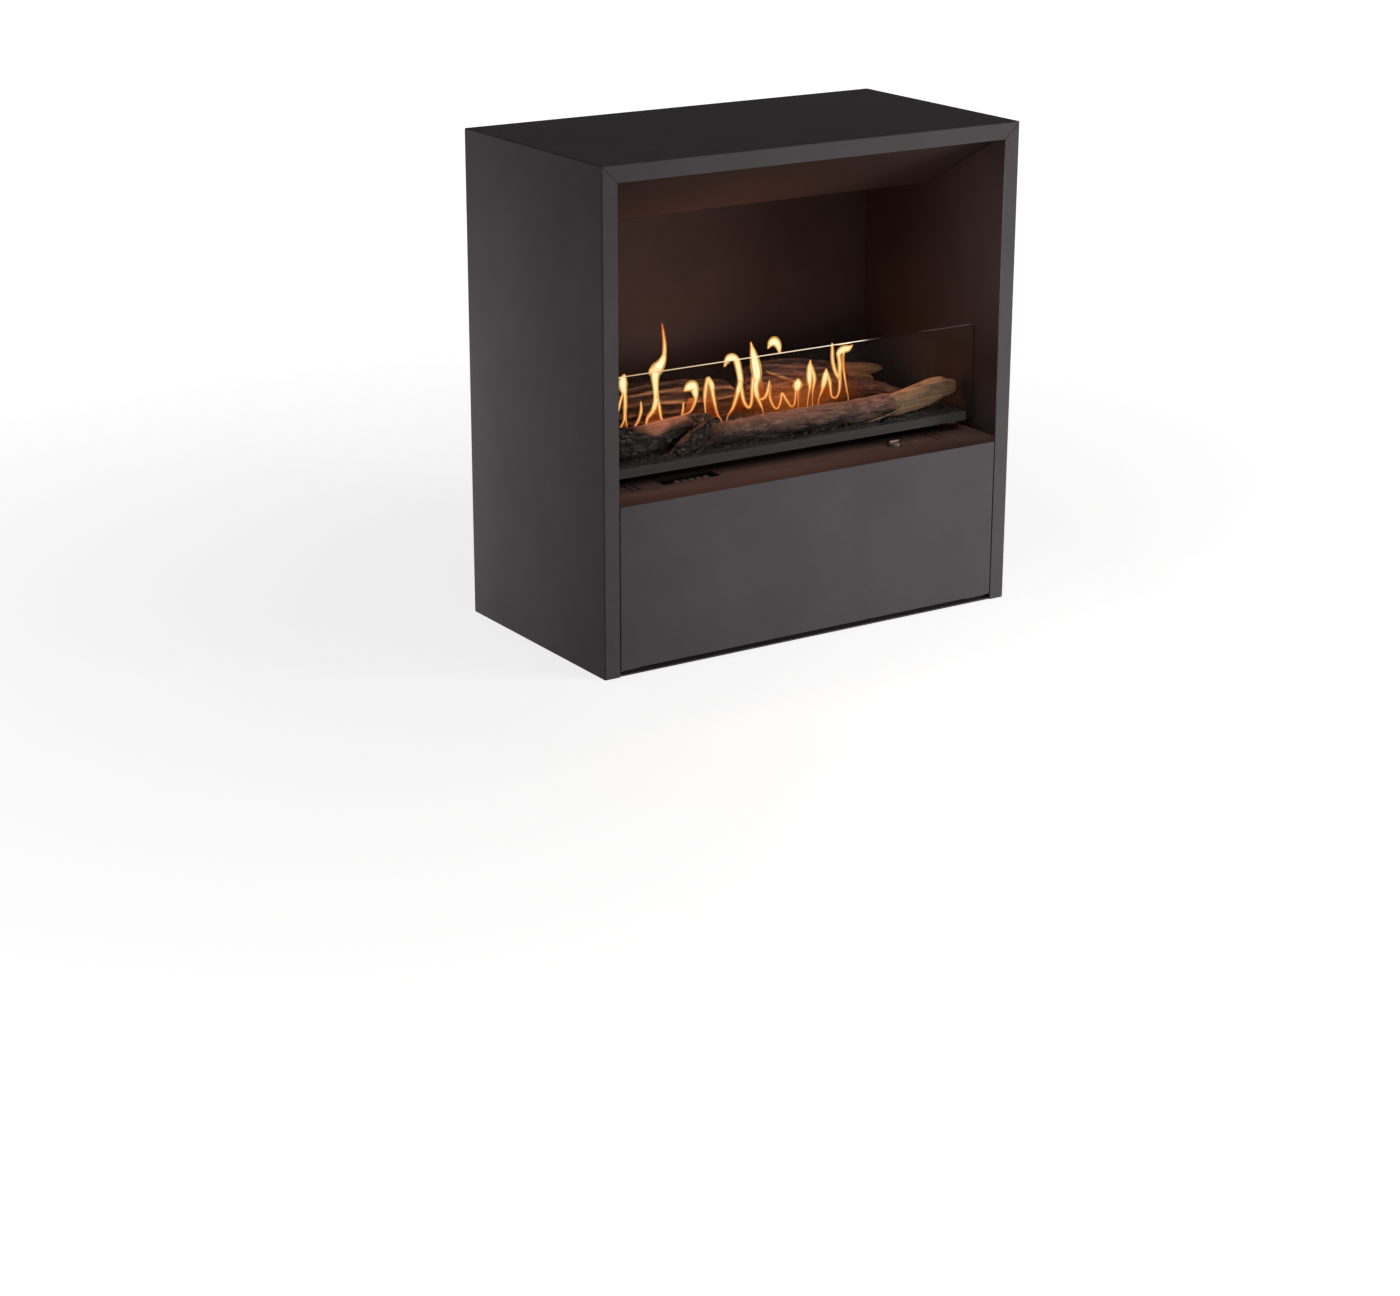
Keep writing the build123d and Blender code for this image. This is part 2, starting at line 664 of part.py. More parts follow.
def fan_frame():
    """Square fan frame with a round duct, struts and a motor seat."""
    half = FAN_SIDE / 2
    x0 = -TUB_X + THIN
    x1 = x0 + FAN_DEPTH
    frame = block(x0, x1, FAN_Y - half, FAN_Y + half, FAN_Z - half, FAN_Z + half)
    frame = chamfer(frame.edges().filter_by(Axis.X), 3.0)
    frame -= rod_x(x0 - 1, x1 + 1, FAN_Y, FAN_Z, 28.0)
    seat = rod_x(x0, x0 + 4, FAN_Y, FAN_Z, 13.0)
    for turn in range(4):
        strut = Box(4, 3, 18)
        seat += Pos(x0 + 2, FAN_Y, FAN_Z) * Rot(45 + 90 * turn, 0, 0) * Pos(0, 0, 20.5) * strut
    frame += seat
    return frame - rod_x(x0 - 1, x0 + 5, FAN_Y, FAN_Z, 1.55)


def fan_impeller():
    """Hub, shaft and seven twisted blades."""
    x0 = -TUB_X + THIN + 4.6
    hub = rod_x(x0, x0 + 13, FAN_Y, FAN_Z, 12.5)
    hub += rod_x(x0 - 4.2, x0, FAN_Y, FAN_Z, 1.5)
    for n in range(7):
        blade = Pos(0, 0, 19) * Rot(0, 0, 38) * Box(1.4, 14, 15)
        hub += Pos(x0 + 6.5, FAN_Y, FAN_Z) * Rot(n * 360 / 7, 0, 0) * blade
    return hub


def control_bezel():
    """Recessed tray in the deck with key holes and a window hole."""
    x0, x1 = RECESS_X[0] + FIT, RECESS_X[1] - FIT
    y0, y1 = RECESS_Y[0] + FIT, RECESS_Y[1] - FIT
    floor = DECK_TOP - RECESS_DEPTH - THIN
    bezel = tray_shell(x0, x1, y0, y1, floor, DECK_TOP, THIN)
    bezel += block(x0 - 4, x1 + 4, y0 - 4, y1 + 4, DECK_BOTTOM - 1.5, DECK_BOTTOM) - block(
        x0, x1, y0, y1, 0, 300
    )
    for n in range(len(KEY_NAMES)):
        bezel -= post(KEY_FIRST_X + n * KEY_PITCH, KEY_Y, floor - 1, floor + 3, KEY_RADIUS + FIT)
    return bezel - window_block(0, floor - 1, floor + THIN + 1)


def window_block(grow, z0, z1):
    """The display window's outline between two levels."""
    return block(
        WINDOW_X - 9 - grow, WINDOW_X + 9 + grow, KEY_Y - 7 - grow, KEY_Y + 7 + grow, z0, z1
    )


def display_window():
    """Dark clear window over the display."""
    floor = DECK_TOP - RECESS_DEPTH - THIN
    return window_block(0, floor, floor + THIN - 0.2)


def control_key(index):
    """Round key cap with a stem down to its switch."""
    x = KEY_FIRST_X + index * KEY_PITCH
    floor = DECK_TOP - RECESS_DEPTH - THIN
    key = post(x, KEY_Y, floor, floor + THIN + 1.4, KEY_RADIUS)
    rim = key.edges().filter_by(GeomType.CIRCLE).sort_by(Axis.Z)[-1]
    key = fillet(rim, 0.5)
    key += post(x, KEY_Y, floor - 2.0, floor - 0.2, KEY_RADIUS + 0.8)
    return key + post(x, KEY_Y, 201.4, floor, 1.6)


def control_board():
    """Circuit board under the keys with switches, chips and a connector."""
    x0, x1 = RECESS_X[0] - 2, RECESS_X[1] + 2
    board = block(x0, x1, RECESS_Y[0] - 12, RECESS_Y[1] + 3, 196.0, 197.6)
    for n in range(len(KEY_NAMES)):
        x = KEY_FIRST_X + n * KEY_PITCH
        board += block(x - 3, x + 3, KEY_Y - 3, KEY_Y + 3, 197.6, 200.2)
    board += window_block(-1, 197.6, 212.0)
    board += block(x0 + 8, x0 + 30, RECESS_Y[0] - 8, RECESS_Y[0] - 2, 190.0, 196.0)
    board += block(x1 - 30, x1 - 14, RECESS_Y[0] - 7, RECESS_Y[0] + 5, 194.0, 196.0)
    recess_floor = DECK_TOP - RECESS_DEPTH - THIN
    for x in (x0 + 6, x1 - 6):
        board += post(x, RECESS_Y[0] - 8, 197.6, DECK_BOTTOM, 2.0)
        board += post(x, RECESS_Y[1] - 4, 197.6, recess_floor, 2.0)
    return board


def power_supply():
    """Sealed supply with cooling ribs and a terminal block."""
    supply = block(-272, -172, 34, 88, TUB_FLOOR + THIN, 80)
    for n in range(8):
        y = 38 + n * 6.4
        supply += block(-268, -176, y, y + 2.4, 80, 86)
    return supply + block(INLET_X - 12, INLET_X + 12, 88, 96, 58, 78)


def mains_wiring():
    """Straight lead from the mains inlet to the supply's terminals."""
    return rod_y(INLET_X, 96.0, 146.0, INLET_Z, 3.2)


def cable_grommet():
    """Rubber ring where the lead passes the tub's wall."""
    ring = rod_y(INLET_X, TUB_REAR - THIN, TUB_REAR, INLET_Z, 5.95)
    ring += rod_y(INLET_X, TUB_REAR, TUB_REAR + 2.5, INLET_Z, 8.0)
    ring += rod_y(INLET_X, TUB_REAR - THIN - 2.5, TUB_REAR - THIN, INLET_Z, 8.0)
    return ring - rod_y(INLET_X, TUB_REAR - 10, TUB_REAR + 10, INLET_Z, 3.25)


def mains_inlet():
    """Three-blade appliance inlet and rocker seat in one module."""
    face = Y_BACK - SHEET
    x0, x1 = INLET_X - 13.6, INLET_X + 13.6
    body = block(x0, x1, 146, face, INLET_Z - 9.6, INLET_Z + 9.6)
    body += block(INLET_X - 17, INLET_X + 17, face, face + 1.8, INLET_Z - 13, ROCKER_Z + 12)
    body += block(INLET_X - 9.6, INLET_X + 9.6, 150, face, ROCKER_Z - 6.6, ROCKER_Z + 6.6)
    body -= block(INLET_X - 11.5, INLET_X + 11.5, 154, 175, INLET_Z - 7.5, INLET_Z + 7.5)
    body -= block(INLET_X - 8.3, INLET_X + 8.3, 156, 175, ROCKER_Z - 5.3, ROCKER_Z + 5.3)
    body -= rod_x(INLET_X - 9.35, INLET_X + 9.35, ROCKER_PIVOT_Y, ROCKER_Z, 1.05)
    for x, z in ((-6.5, 0.0), (6.5, 0.0), (0.0, 4.0)):
        body += block(
            INLET_X + x - 1, INLET_X + x + 1, 154, 164, INLET_Z + z - 2, INLET_Z + z + 2
        )
    return body


def power_rocker():
    """Rocker of the mains switch on its cross pin, tipped one way."""
    corners = ((-1.5, -3.0), (6.4, -3.9), (5.0, 0.0), (6.4, 3.9), (-1.5, 3.0))
    profile = make_face(Polyline(*[(0, y, z) for y, z in corners], close=True))
    rocker = extrude(profile, 7.9, dir=(1, 0, 0)) + extrude(profile, 7.9, dir=(-1, 0, 0))
    rocker = Rot(ROCKER_TILT, 0, 0) * rocker
    rocker += rod_x(-9.2, 9.2, 0, 0, 1.0)
    return Pos(INLET_X, ROCKER_PIVOT_Y, ROCKER_Z) * rocker


def status_light():
    """Small lens of the status light in the deck."""
    y = FILLER_Y + 4
    lens = post(LIGHT_X, y, DECK_BOTTOM - 6, DECK_TOP + 0.6, 2.5)
    return lens + post(LIGHT_X, y, DECK_BOTTOM - 6, DECK_BOTTOM, 4.0)


# ---------------------------------------------------------------- glass and tray
def glass_rail():
    """Channel along the tray's front that holds the pane."""
    y0, y1 = RAIL_FRONT, RAIL_FRONT + RAIL_DEPTH
    rail = block(-RAIL_X, RAIL_X, y0, y1, *RAIL_Z)
    return rail - block(
        -RAIL_X - 1, RAIL_X + 1, y0 + RAIL_WALL, y1 - RAIL_WALL, RAIL_Z[0] + THIN, 300
    )


def glass_gaskets():
    """Short clear seats under the pane in the rail."""
    y0 = RAIL_FRONT + RAIL_WALL
    z0 = RAIL_Z[0] + THIN
    y1 = y0 + RAIL_DEPTH - 2 * RAIL_WALL
    seats = [block(x - 12, x + 12, y0, y1, z0, z0 + 1.2) for x in (-200.0, 0.0, 200.0)]
    return Compound(children=seats)


def glass_pane():
    """Toughened pane with polished edges and rounded top corners."""
    middle = RAIL_FRONT + RAIL_DEPTH / 2
    half = GLASS_THICKNESS / 2
    bottom = RAIL_Z[0] + THIN + 1.25
    pane = block(-GLASS_X, GLASS_X, middle - half, middle + half, bottom, GLASS_TOP)
    corners = pane.edges().filter_by(Axis.Y).group_by(Axis.Z)[-1]
    pane = fillet(corners, 3.0)
    return chamfer(pane.faces().sort_by(Axis.Z)[-1].edges().filter_by(Axis.X), 0.5)


def log_tray():
    """Shallow tray with an upstand round the flame opening."""
    tray = tray_shell(-TRAY_X, TRAY_X, TRAY_FRONT, TRAY_REAR, TRAY_FLOOR, TRAY_TOP, THIN)
    x, y = TRAY_SLOT_X, TRAY_SLOT_Y
    upstand = block(-x - THIN, x + THIN, FLAME_Y - y - THIN, FLAME_Y + y + THIN, TRAY_FLOOR, TRAY_TOP)
    tray += upstand
    return tray - block(-x, x, FLAME_Y - y, FLAME_Y + y, 200, 300)


def tray_feet():
    """Four posts that stand the tray on the deck."""
    feet = [
        post(sign * FOOT_X, y, DECK_TOP, TRAY_FLOOR, FOOT_RADIUS) for sign in (-1, 1) for y in FOOT_Y
    ]
    return Compound(children=feet)


def lava_gravel():
    """Bed of lava gravel that fills the tray up to its rim."""
    z0 = TRAY_FLOOR + THIN
    x = TRAY_X - THIN - FIT
    bed = block(-x, x, TRAY_FRONT + THIN + FIT, TRAY_REAR - THIN - FIT, z0, GRAVEL_TOP)
    rim = THIN + FIT
    return bed - block(
        -TRAY_SLOT_X - rim,
        TRAY_SLOT_X + rim,
        FLAME_Y - TRAY_SLOT_Y - rim,
        FLAME_Y + TRAY_SLOT_Y + rim,
        0,
        300,
    )


# ---------------------------------------------------------------- logs
def log_section(centre, wide, high, phase, corners=14):
    """A slightly lumpy closed outline in a YZ plane."""
    points = []
    for n in range(corners):
        angle = 2 * math.pi * n / corners
        lump = 1 + 0.05 * math.sin(3 * angle + phase) + 0.03 * math.sin(5 * angle - 2 * phase)
        y = centre[1] + wide * lump * math.cos(angle)
        z = centre[2] + high * lump * math.sin(angle)
        points.append((centre[0], y, z))
    return make_face(Polyline(*points, close=True))


def lofted_log(stations, phase):
    """A log through stations of (x, y, z, half width, half height), settled in the gravel."""
    sections = [
        log_section((x, y, z), wide, high, phase + 0.5 * n)
        for n, (x, y, z, wide, high) in enumerate(stations)
    ]
    log = loft(sections, ruled=True)
    return log - block(-X_OUT, X_OUT, Y_FRONT, Y_BACK, GRAVEL_TOP - 30, GRAVEL_TOP)


def front_left_log():
    """Charred log at the front left."""
    return lofted_log(
        [
            (-291, -62, 273, 12, 12),
            (-284, -62, 273.5, 18, 17.5),
            (-240, -60, 273.5, 18, 18),
            (-190, -59, 273.5, 18.5, 18),
            (-150, -58, 273.5, 18, 17.5),
            (-128, -58, 271, 11, 11),
        ],
        0.4,
    )


def forked_branch():
    """Short forked branch that leans between the two front logs."""
    limb = lofted_log(
        [
            (-186, -89, 261, 5, 5),
            (-172, -89, 266, 7.5, 8.5),
            (-146, -89, 273, 7.5, 9),
            (-120, -88, 280, 7, 8),
            (-105, -87, 285, 4, 4),
        ],
        1.1,
    )
    prong = lofted_log(
        [
            (-156, -89, 266, 4, 4),
            (-138, -89, 262, 6, 5.5),
            (-118, -89, 264, 6, 6),
            (-102, -88, 268, 3, 3),
        ],
        2.6,
    )
    return limb + prong


def front_log():
    """Long front log whose right end is split to pale wood."""
    return lofted_log(
        [
            (-99, -76, 269, 9, 10),
            (-90, -76, 270.5, 14, 15),
            (-40, -77, 271, 15.5, 16),
            (40, -77, 271, 16.5, 16.5),
            (120, -77, 271, 16.5, 16.5),
            (185, -76, 272, 16.5, 16.5),
            (210, -76, 274, 15, 17.5),
            (250, -75, 281, 14, 16.5),
            (282, -74, 283, 12, 12.5),
            (299, -74, 287, 7, 4.5),
        ],
        2.0,
    )


def rear_left_log():
    """Weathered rear log on the left."""
    return lofted_log(
        [
            (-262, 52, 279, 15, 15),
            (-252, 52, 282, 24, 25),
            (-170, 51, 283.5, 27, 28),
            (-90, 50, 284, 28, 28.5),
            (-20, 50, 283.5, 27, 28),
            (2, 50, 280, 17, 18),
        ],
        3.1,
    )


def rear_right_log():
    """Bark-covered rear log on the right with a broken end."""
    return lofted_log(
        [
            (12, 48, 282, 18, 19),
            (22, 48, 288, 29, 33),
            (90, 49, 288, 30, 32.5),
            (160, 50, 284.5, 28, 28.5),
            (205, 51, 282, 25, 26),
            (235, 51, 283, 19, 18),
            (262, 51, 287, 8, 4),
        ],
        4.2,
    )


# ---------------------------------------------------------------- write all
def main():
    """Build every sub-part and write it under its node's name."""
    os.makedirs("parts", exist_ok=True)
    makers = (
        outer_casing,
        base_plate,
        back_panel,
        back_screws,
        front_panel,
        panel_strikers,
        panel_brackets,
        panel_magnets,
        deck_rails,
        deck_plate,
        deck_screws,
        liner_back,
        heat_baffle,
        baffle_screws,
        burner_tub,
        burner_top,
        flame_collar,
        vapour_trough,
        glow_heater,
        flame_sensor,
        fuel_tank,
        filler_neck,
        neck_seals,
        filler_cap,
        level_sensor,
        level_float,
        fuel_pump,
        suction_line,
        feed_line,
        fan_frame,
        fan_impeller,
        control_bezel,
        display_window,
        control_board,
        power_supply,
        mains_wiring,
        cable_grommet,
        mains_inlet,
        power_rocker,
        status_light,
        glass_rail,
        glass_gaskets,
        glass_pane,
        log_tray,
        tray_feet,
        lava_gravel,
        front_left_log,
        forked_branch,
        front_log,
        rear_left_log,
        rear_right_log,
    )
    for maker in makers:
        save(maker.__name__, maker())
    for side, sign in (("left", -1), ("right", 1)):
        save(f"tub_end_{side}", tub_end(sign))
        save(f"liner_{side}", liner_side(sign))
    for index, name in enumerate(KEY_NAMES):
        save(name, control_key(index))


main()
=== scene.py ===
import json
import math
import random

import bpy
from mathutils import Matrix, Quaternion, Vector, noise


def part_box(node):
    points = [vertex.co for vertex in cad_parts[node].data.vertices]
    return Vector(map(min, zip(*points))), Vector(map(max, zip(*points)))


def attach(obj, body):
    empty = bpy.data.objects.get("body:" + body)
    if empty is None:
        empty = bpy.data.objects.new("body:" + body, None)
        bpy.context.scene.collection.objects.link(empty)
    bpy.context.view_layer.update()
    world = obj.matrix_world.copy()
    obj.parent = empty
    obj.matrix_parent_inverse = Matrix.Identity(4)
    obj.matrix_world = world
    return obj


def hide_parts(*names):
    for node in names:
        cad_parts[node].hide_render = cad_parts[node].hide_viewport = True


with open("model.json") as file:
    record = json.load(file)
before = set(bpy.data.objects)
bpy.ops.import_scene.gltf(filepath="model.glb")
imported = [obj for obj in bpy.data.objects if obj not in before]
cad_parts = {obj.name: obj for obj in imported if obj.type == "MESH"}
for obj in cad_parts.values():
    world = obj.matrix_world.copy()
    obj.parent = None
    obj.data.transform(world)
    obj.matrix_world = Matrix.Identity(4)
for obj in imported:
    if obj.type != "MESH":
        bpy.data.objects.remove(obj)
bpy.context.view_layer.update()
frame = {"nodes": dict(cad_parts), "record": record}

# A free-standing bioethanol fireplace: dark powder-coated casing, open firebox with
# ceramic logs, lava gravel, flames and a glass pane. Metres, in the frame of the CAD.

NODES = frame["nodes"]
# Blender seeds its vector noise from the clock unless a seed is set.
noise.seed_set(7)

# -------- named sizes
COLLAR_LOW, COLLAR_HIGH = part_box("flame_collar")
FLAME_Y = (COLLAR_LOW.y + COLLAR_HIGH.y) / 2
COLLAR_TOP = COLLAR_HIGH.z
GRAVEL_LOW, GRAVEL_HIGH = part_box("lava_gravel")
GRAVEL_TOP = GRAVEL_HIGH.z
CAMERA_PLACE = Vector((-2.25192, -3.31969, 1.30625))
CAMERA_TARGET = Vector((-0.1797, -0.171, 0.0175))
CAMERA_ROLL = 0.00325
CAMERA_LENS = 78.3855
CAMERA_REACH = (0.05, 60)


# -------- material helpers
def feed(tree, socket, value):
    """Give a socket a fixed value or another socket's output."""
    if isinstance(value, bpy.types.NodeSocket):
        tree.links.new(value, socket)
    else:
        socket.default_value = value


def add_node(tree, kind, **inputs):
    """A new node with some of its inputs given by name."""
    node = tree.nodes.new(kind)
    for name, value in inputs.items():
        feed(tree, node.inputs[name.replace("_", " ")], value)
    return node


def combine(tree, operation, *values):
    """Output of a math node over numbers and sockets."""
    node = tree.nodes.new("ShaderNodeMath")
    node.operation = operation
    for socket, value in zip(node.inputs, values):
        feed(tree, socket, value)
    return node.outputs[0]


def srgb(red, green, blue):
    """Linear colour of an 8-bit screen colour."""
    out = []
    for value in (red, green, blue):
        c = value / 255
        out.append(c / 12.92 if c <= 0.04045 else ((c + 0.055) / 1.055) ** 2.4)
    return (*out, 1.0)


def shade(colour, gain, lift=0.0):
    """A colour made darker or brighter."""
    return tuple(min(1.0, gain * c + lift) for c in colour[:3]) + (1.0,)


class Surface:
    """A Principled material with the few nodes that carry its detail."""

    def __init__(self, name, colour, roughness, **sockets):
        self.material = bpy.data.materials.new(name)
        self.material.use_nodes = True
        self.tree = self.material.node_tree
        self.shader = self.tree.nodes["Principled BSDF"]
        self.place = self.tree.nodes.new("ShaderNodeTexCoord").outputs["Object"]
        self.put("Base Color", colour)
        self.put("Roughness", roughness)
        for socket, value in sockets.items():
            self.put(socket.replace("_", " "), value)

    def put(self, name, value):
        feed(self.tree, self.shader.inputs[name], value)

    def node(self, kind, **inputs):
        return add_node(self.tree, kind, **inputs)

    def stretched(self, x, y, z):
        """Coordinates scaled differently along each axis."""
        return self.node("ShaderNodeMapping", Scale=(x, y, z), Vector=self.place).outputs[0]

    def noise(self, scale, detail=4.0, rough=0.5, where=None):
        node = self.node("ShaderNodeTexNoise", Scale=scale, Detail=detail, Roughness=rough)
        feed(self.tree, node.inputs["Vector"], where or self.place)
        return node.outputs[0]

    def cells(self, scale, where=None, feature="F1", output="Distance"):
        node = self.node("ShaderNodeTexVoronoi", Scale=scale, Vector=where or self.place)
        node.feature = feature
        return node.outputs[output]

    def ramp(self, value, *stops):
        """Colour ramp through (position, colour) stops."""
        node = self.node("ShaderNodeValToRGB", Fac=value)
        marks = node.color_ramp.elements
        while len(marks) < len(stops):
            marks.new(0.5)
        for mark, (position, colour) in zip(marks, stops):
            mark.position = position
            mark.color = colour
        return node.outputs["Color"]

    def levels(self, value, low, high, out_low=0.0, out_high=1.0):
        """Stretch a value from one range to another, held at the ends."""
        ends = {"From_Min": low, "From_Max": high, "To_Min": out_low, "To_Max": out_high}
        return self.node("ShaderNodeMapRange", Value=value, **ends).outputs["Result"]

    def mix(self, factor, first, second):
        node = self.tree.nodes.new("ShaderNodeMix")
        node.data_type = "RGBA"
        for number, value in ((0, factor), (6, first), (7, second)):
            feed(self.tree, node.inputs[number], value)
        return node.outputs[2]

    def sum(self, first, second, weight=1.0):
        """first plus weight times second."""
        return combine(self.tree, "MULTIPLY_ADD", second, weight, first)

    def attribute(self, name):
        node = self.tree.nodes.new("ShaderNodeAttribute")
        node.attribute_name = name
        return node.outputs["Fac"]

    def axis(self, name):
        """One coordinate of the place, in metres."""
        return self.node("ShaderNodeSeparateXYZ", Vector=self.place).outputs[name]

    def bump(self, height, depth):
        """Relief of a real depth in metres."""
        node = self.node("ShaderNodeBump", Distance=depth, Height=height)
        self.put("Normal", node.outputs["Normal"])


# -------- paints and metals
def powder_coat(name, light, dark, roughness, specular):
    """Fine-texture powder coat with soft clouding and a few bright grains."""
    s = Surface(name, light, roughness, Specular_IOR_Level=specular)
    grain = s.noise(950, detail=3, rough=0.6)
    cloud = s.noise(9, detail=3)
    tone = s.mix(s.levels(s.sum(cloud, grain, 0.9), 0.6, 1.35), dark, light)
    speck = s.levels(s.cells(700), 0.16, 0.08)
    chosen = s.levels(s.noise(420, detail=1), 0.62, 0.70)
    bright_grains = combine(s.tree, "MULTIPLY", speck, chosen)
    s.put("Base Color", s.mix(bright_grains, tone, shade(light, 2.6)))
    s.put("Roughness", s.levels(grain, 0.3, 0.7, roughness - 0.08, roughness + 0.1))
    s.bump(s.sum(grain, s.cells(1300), 0.6), 0.00016)
    return s.material


def casing_paint():
    return powder_coat("casing_paint", srgb(86, 82, 83), srgb(77, 73, 75), 0.6, 0.003)


def firebox_paint():
    # Painted light: the brown in this coat is partly painted firelight, partly the liner's own
    # near-black tone.
    return powder_coat("firebox_paint", srgb(45, 36, 33), srgb(38, 30, 28), 0.5, 0.012)


def deck_painted_firelight():
    # Painted light: the deck coat is tinted brown and lightened to stand in for the firelight that
    # falls on it.
    return powder_coat("deck_painted_firelight", srgb(100, 80, 72), srgb(92, 73, 66), 0.45, 0.02)


def galvanised():
    """Zinc spangle: flat crystals of differing brightness."""
    s = Surface("galvanised", srgb(168, 172, 174), 0.4, Metallic=1.0)
    warp = s.stretched(1.0, 1.0, 1.35)
    crystal = s.cells(75, where=warp, output="Color")
    pale = s.levels(crystal, 0.15, 0.85)
    s.put("Base Color", s.mix(pale, srgb(142, 147, 151), srgb(190, 193, 194)))
    s.put("Roughness", s.levels(s.sum(pale, s.noise(160), 0.5), 0.2, 1.3, 0.3, 0.52))
    s.bump(s.sum(pale, s.noise(600), 0.3), 0.00005)
    return s.material


def grain_lines(s, along="X"):
    """Fine parallel lines along one axis."""
    scales = [900.0, 900.0, 900.0]
    scales["XYZ".index(along)] = 12.0
    return s.noise(1.0, detail=5, rough=0.65, where=s.stretched(*scales))


def brushed(name, colour, roughness, along):
    """Brushed bright metal."""
    s = Surface(name, colour, roughness, Metallic=1.0)
    lines = grain_lines(s, along)
    s.put("Base Color", s.mix(s.levels(lines, 0.3, 0.7), shade(colour, 0.72), colour))
    s.put("Roughness", s.levels(lines, 0.3, 0.7, roughness - 0.06, roughness + 0.12))
    s.bump(s.sum(lines, s.noise(40), 0.2), 0.00004)
    return s.material


def screw_steel():
    return brushed("screw_steel", srgb(150, 150, 148), 0.35, "Z")


def stainless():
    return brushed("stainless", srgb(178, 176, 172), 0.3, "X")


def rail_metal():
    """Dark satin rail with faint drawing lines."""
    s = Surface("rail_metal", srgb(46, 45, 44), 0.55, Specular_IOR_Level=0.02)
    lines = grain_lines(s)
    tone = s.levels(lines, 0.3, 0.7)
    s.put("Base Color", s.mix(tone, srgb(51, 49, 48), srgb(63, 61, 60)))
    s.put("Roughness", s.levels(lines, 0.3, 0.7, 0.42, 0.6))
    s.bump(lines, 0.00004)
    return s.material


def scorched_steel():
    """Stainless sheet dulled and browned by the heat of the burner."""
    s = Surface("scorched_steel", srgb(58, 50, 46), 0.6, Metallic=0.4, Specular_IOR_Level=0.1)
    lines = grain_lines(s)
    bloom = s.noise(22, detail=4)
    tone = s.levels(s.sum(bloom, lines, 0.5), 0.45, 1.0)
    s.put("Base Color", s.mix(tone, srgb(34, 29, 28), srgb(78, 64, 54)))
    s.put("Roughness", s.levels(lines, 0.3, 0.7, 0.5, 0.7))
    s.bump(lines, 0.00004)
    return s.material


def chrome_cap():
    """Turned, dark-plated cap with hairline marks."""
    s = Surface("chrome_cap", srgb(40, 34, 31), 0.3, Metallic=0.8)
    marks = s.noise(1.0, detail=4, where=s.stretched(300, 300, 3000))
    s.put("Roughness", s.levels(marks, 0.3, 0.75, 0.26, 0.42))
    s.put("Base Color", s.mix(marks, srgb(122, 104, 92), srgb(84, 72, 64)))
    s.bump(marks, 0.00003)
    return s.material


def magnet_plating():
    """Nickel plating, slightly pitted."""
    s = Surface("magnet_plating", srgb(184, 180, 170), 0.22, Metallic=1.0)
    pits = s.noise(500, detail=5)
    s.put("Roughness", s.levels(pits, 0.3, 0.7, 0.14, 0.38))
    s.put("Base Color", s.mix(s.noise(60), srgb(190, 186, 176), srgb(160, 155, 146)))
    s.bump(pits, 0.00005)
    return s.material


def cast_metal(name, colour, roughness):
    """Sand-blasted casting."""
    s = Surface(name, colour, roughness, Metallic=0.85)
    grain = s.noise(700, detail=5, rough=0.7)
    tone = s.levels(s.sum(grain, s.noise(50), 0.8), 0.6, 1.2)
    s.put("Base Color", s.mix(tone, shade(colour, 0.6), colour))
    s.put("Roughness", s.levels(grain, 0.3, 0.7, roughness, roughness + 0.2))
    s.bump(grain, 0.00012)
    return s.material


def pump_body():
    return cast_metal("pump_body", srgb(128, 130, 134), 0.42)


def supply_case():
    """Anodised housing of the power supply."""
    return cast_metal("supply_case", srgb(96, 98, 101), 0.36)


# -------- plastics and boards
def moulded(name, colour, roughness, specular=0.5, **sockets):
    """Moulded plastic with a fine spark-eroded grain."""
    s = Surface(name, colour, roughness, Specular_IOR_Level=specular, **sockets)
    grain = s.cells(1500, feature="SMOOTH_F1")
    wear = s.noise(35, detail=5)
    tone = s.levels(s.sum(wear, grain, 0.4), 0.45, 1.0)
    s.put("Base Color", s.mix(tone, colour, shade(colour, 1.35, 0.004)))
    s.put("Roughness", s.levels(wear, 0.3, 0.7, roughness - 0.06, roughness + 0.1))
    s.bump(grain, 0.00008)
    return s.material


def black_plastic():
    return moulded("black_plastic", srgb(20, 18, 17), 0.5, 0.2)


def float_plastic():
    return moulded("float_plastic", srgb(214, 206, 184), 0.4, Subsurface_Weight=0.15)


def key_plastic():
    return moulded("key_plastic", srgb(138, 120, 108), 0.32)


def lens_plastic():
    return moulded("lens_plastic", srgb(150, 92, 40), 0.2, Coat_Weight=0.6)


def window_plastic():
    """Smoked display window with a polished face."""
    s = Surface("window_plastic", srgb(24, 18, 17), 0.1, Coat_Weight=0.5, Coat_Roughness=0.05)
    smear = s.noise(120, detail=5)
    s.put("Roughness", s.levels(smear, 0.35, 0.7, 0.06, 0.2))
    s.put("Base Color", s.mix(smear, srgb(22, 17, 16), srgb(34, 26, 24)))
    s.bump(s.noise(30), 0.00004)
    return s.material


def hose_rubber():
    """Fuel hose: matt rubber with fine moulding rings and bloom."""
    s = Surface("hose_rubber", srgb(30, 31, 32), 0.6)
    bloom = s.noise(140, detail=5)
    s.put("Base Color", s.mix(s.levels(bloom, 0.4, 0.8), srgb(28, 29, 30), srgb(58, 58, 57)))
    s.put("Roughness", s.levels(bloom, 0.3, 0.7, 0.5, 0.75))
    s.bump(s.sum(bloom, s.noise(900), 0.5), 0.0001)
    return s.material


def seat_silicone():
    """Silicone seals, dusty grey."""
    s = Surface("seat_silicone", srgb(150, 152, 150), 0.35, Subsurface_Weight=0.3)
    dust = s.noise(260, detail=5)
    dusty = s.levels(dust, 0.45, 0.75)
    s.put("Base Color", s.mix(dusty, srgb(156, 158, 156), srgb(118, 118, 114)))
    s.bump(dust, 0.00006)
    return s.material


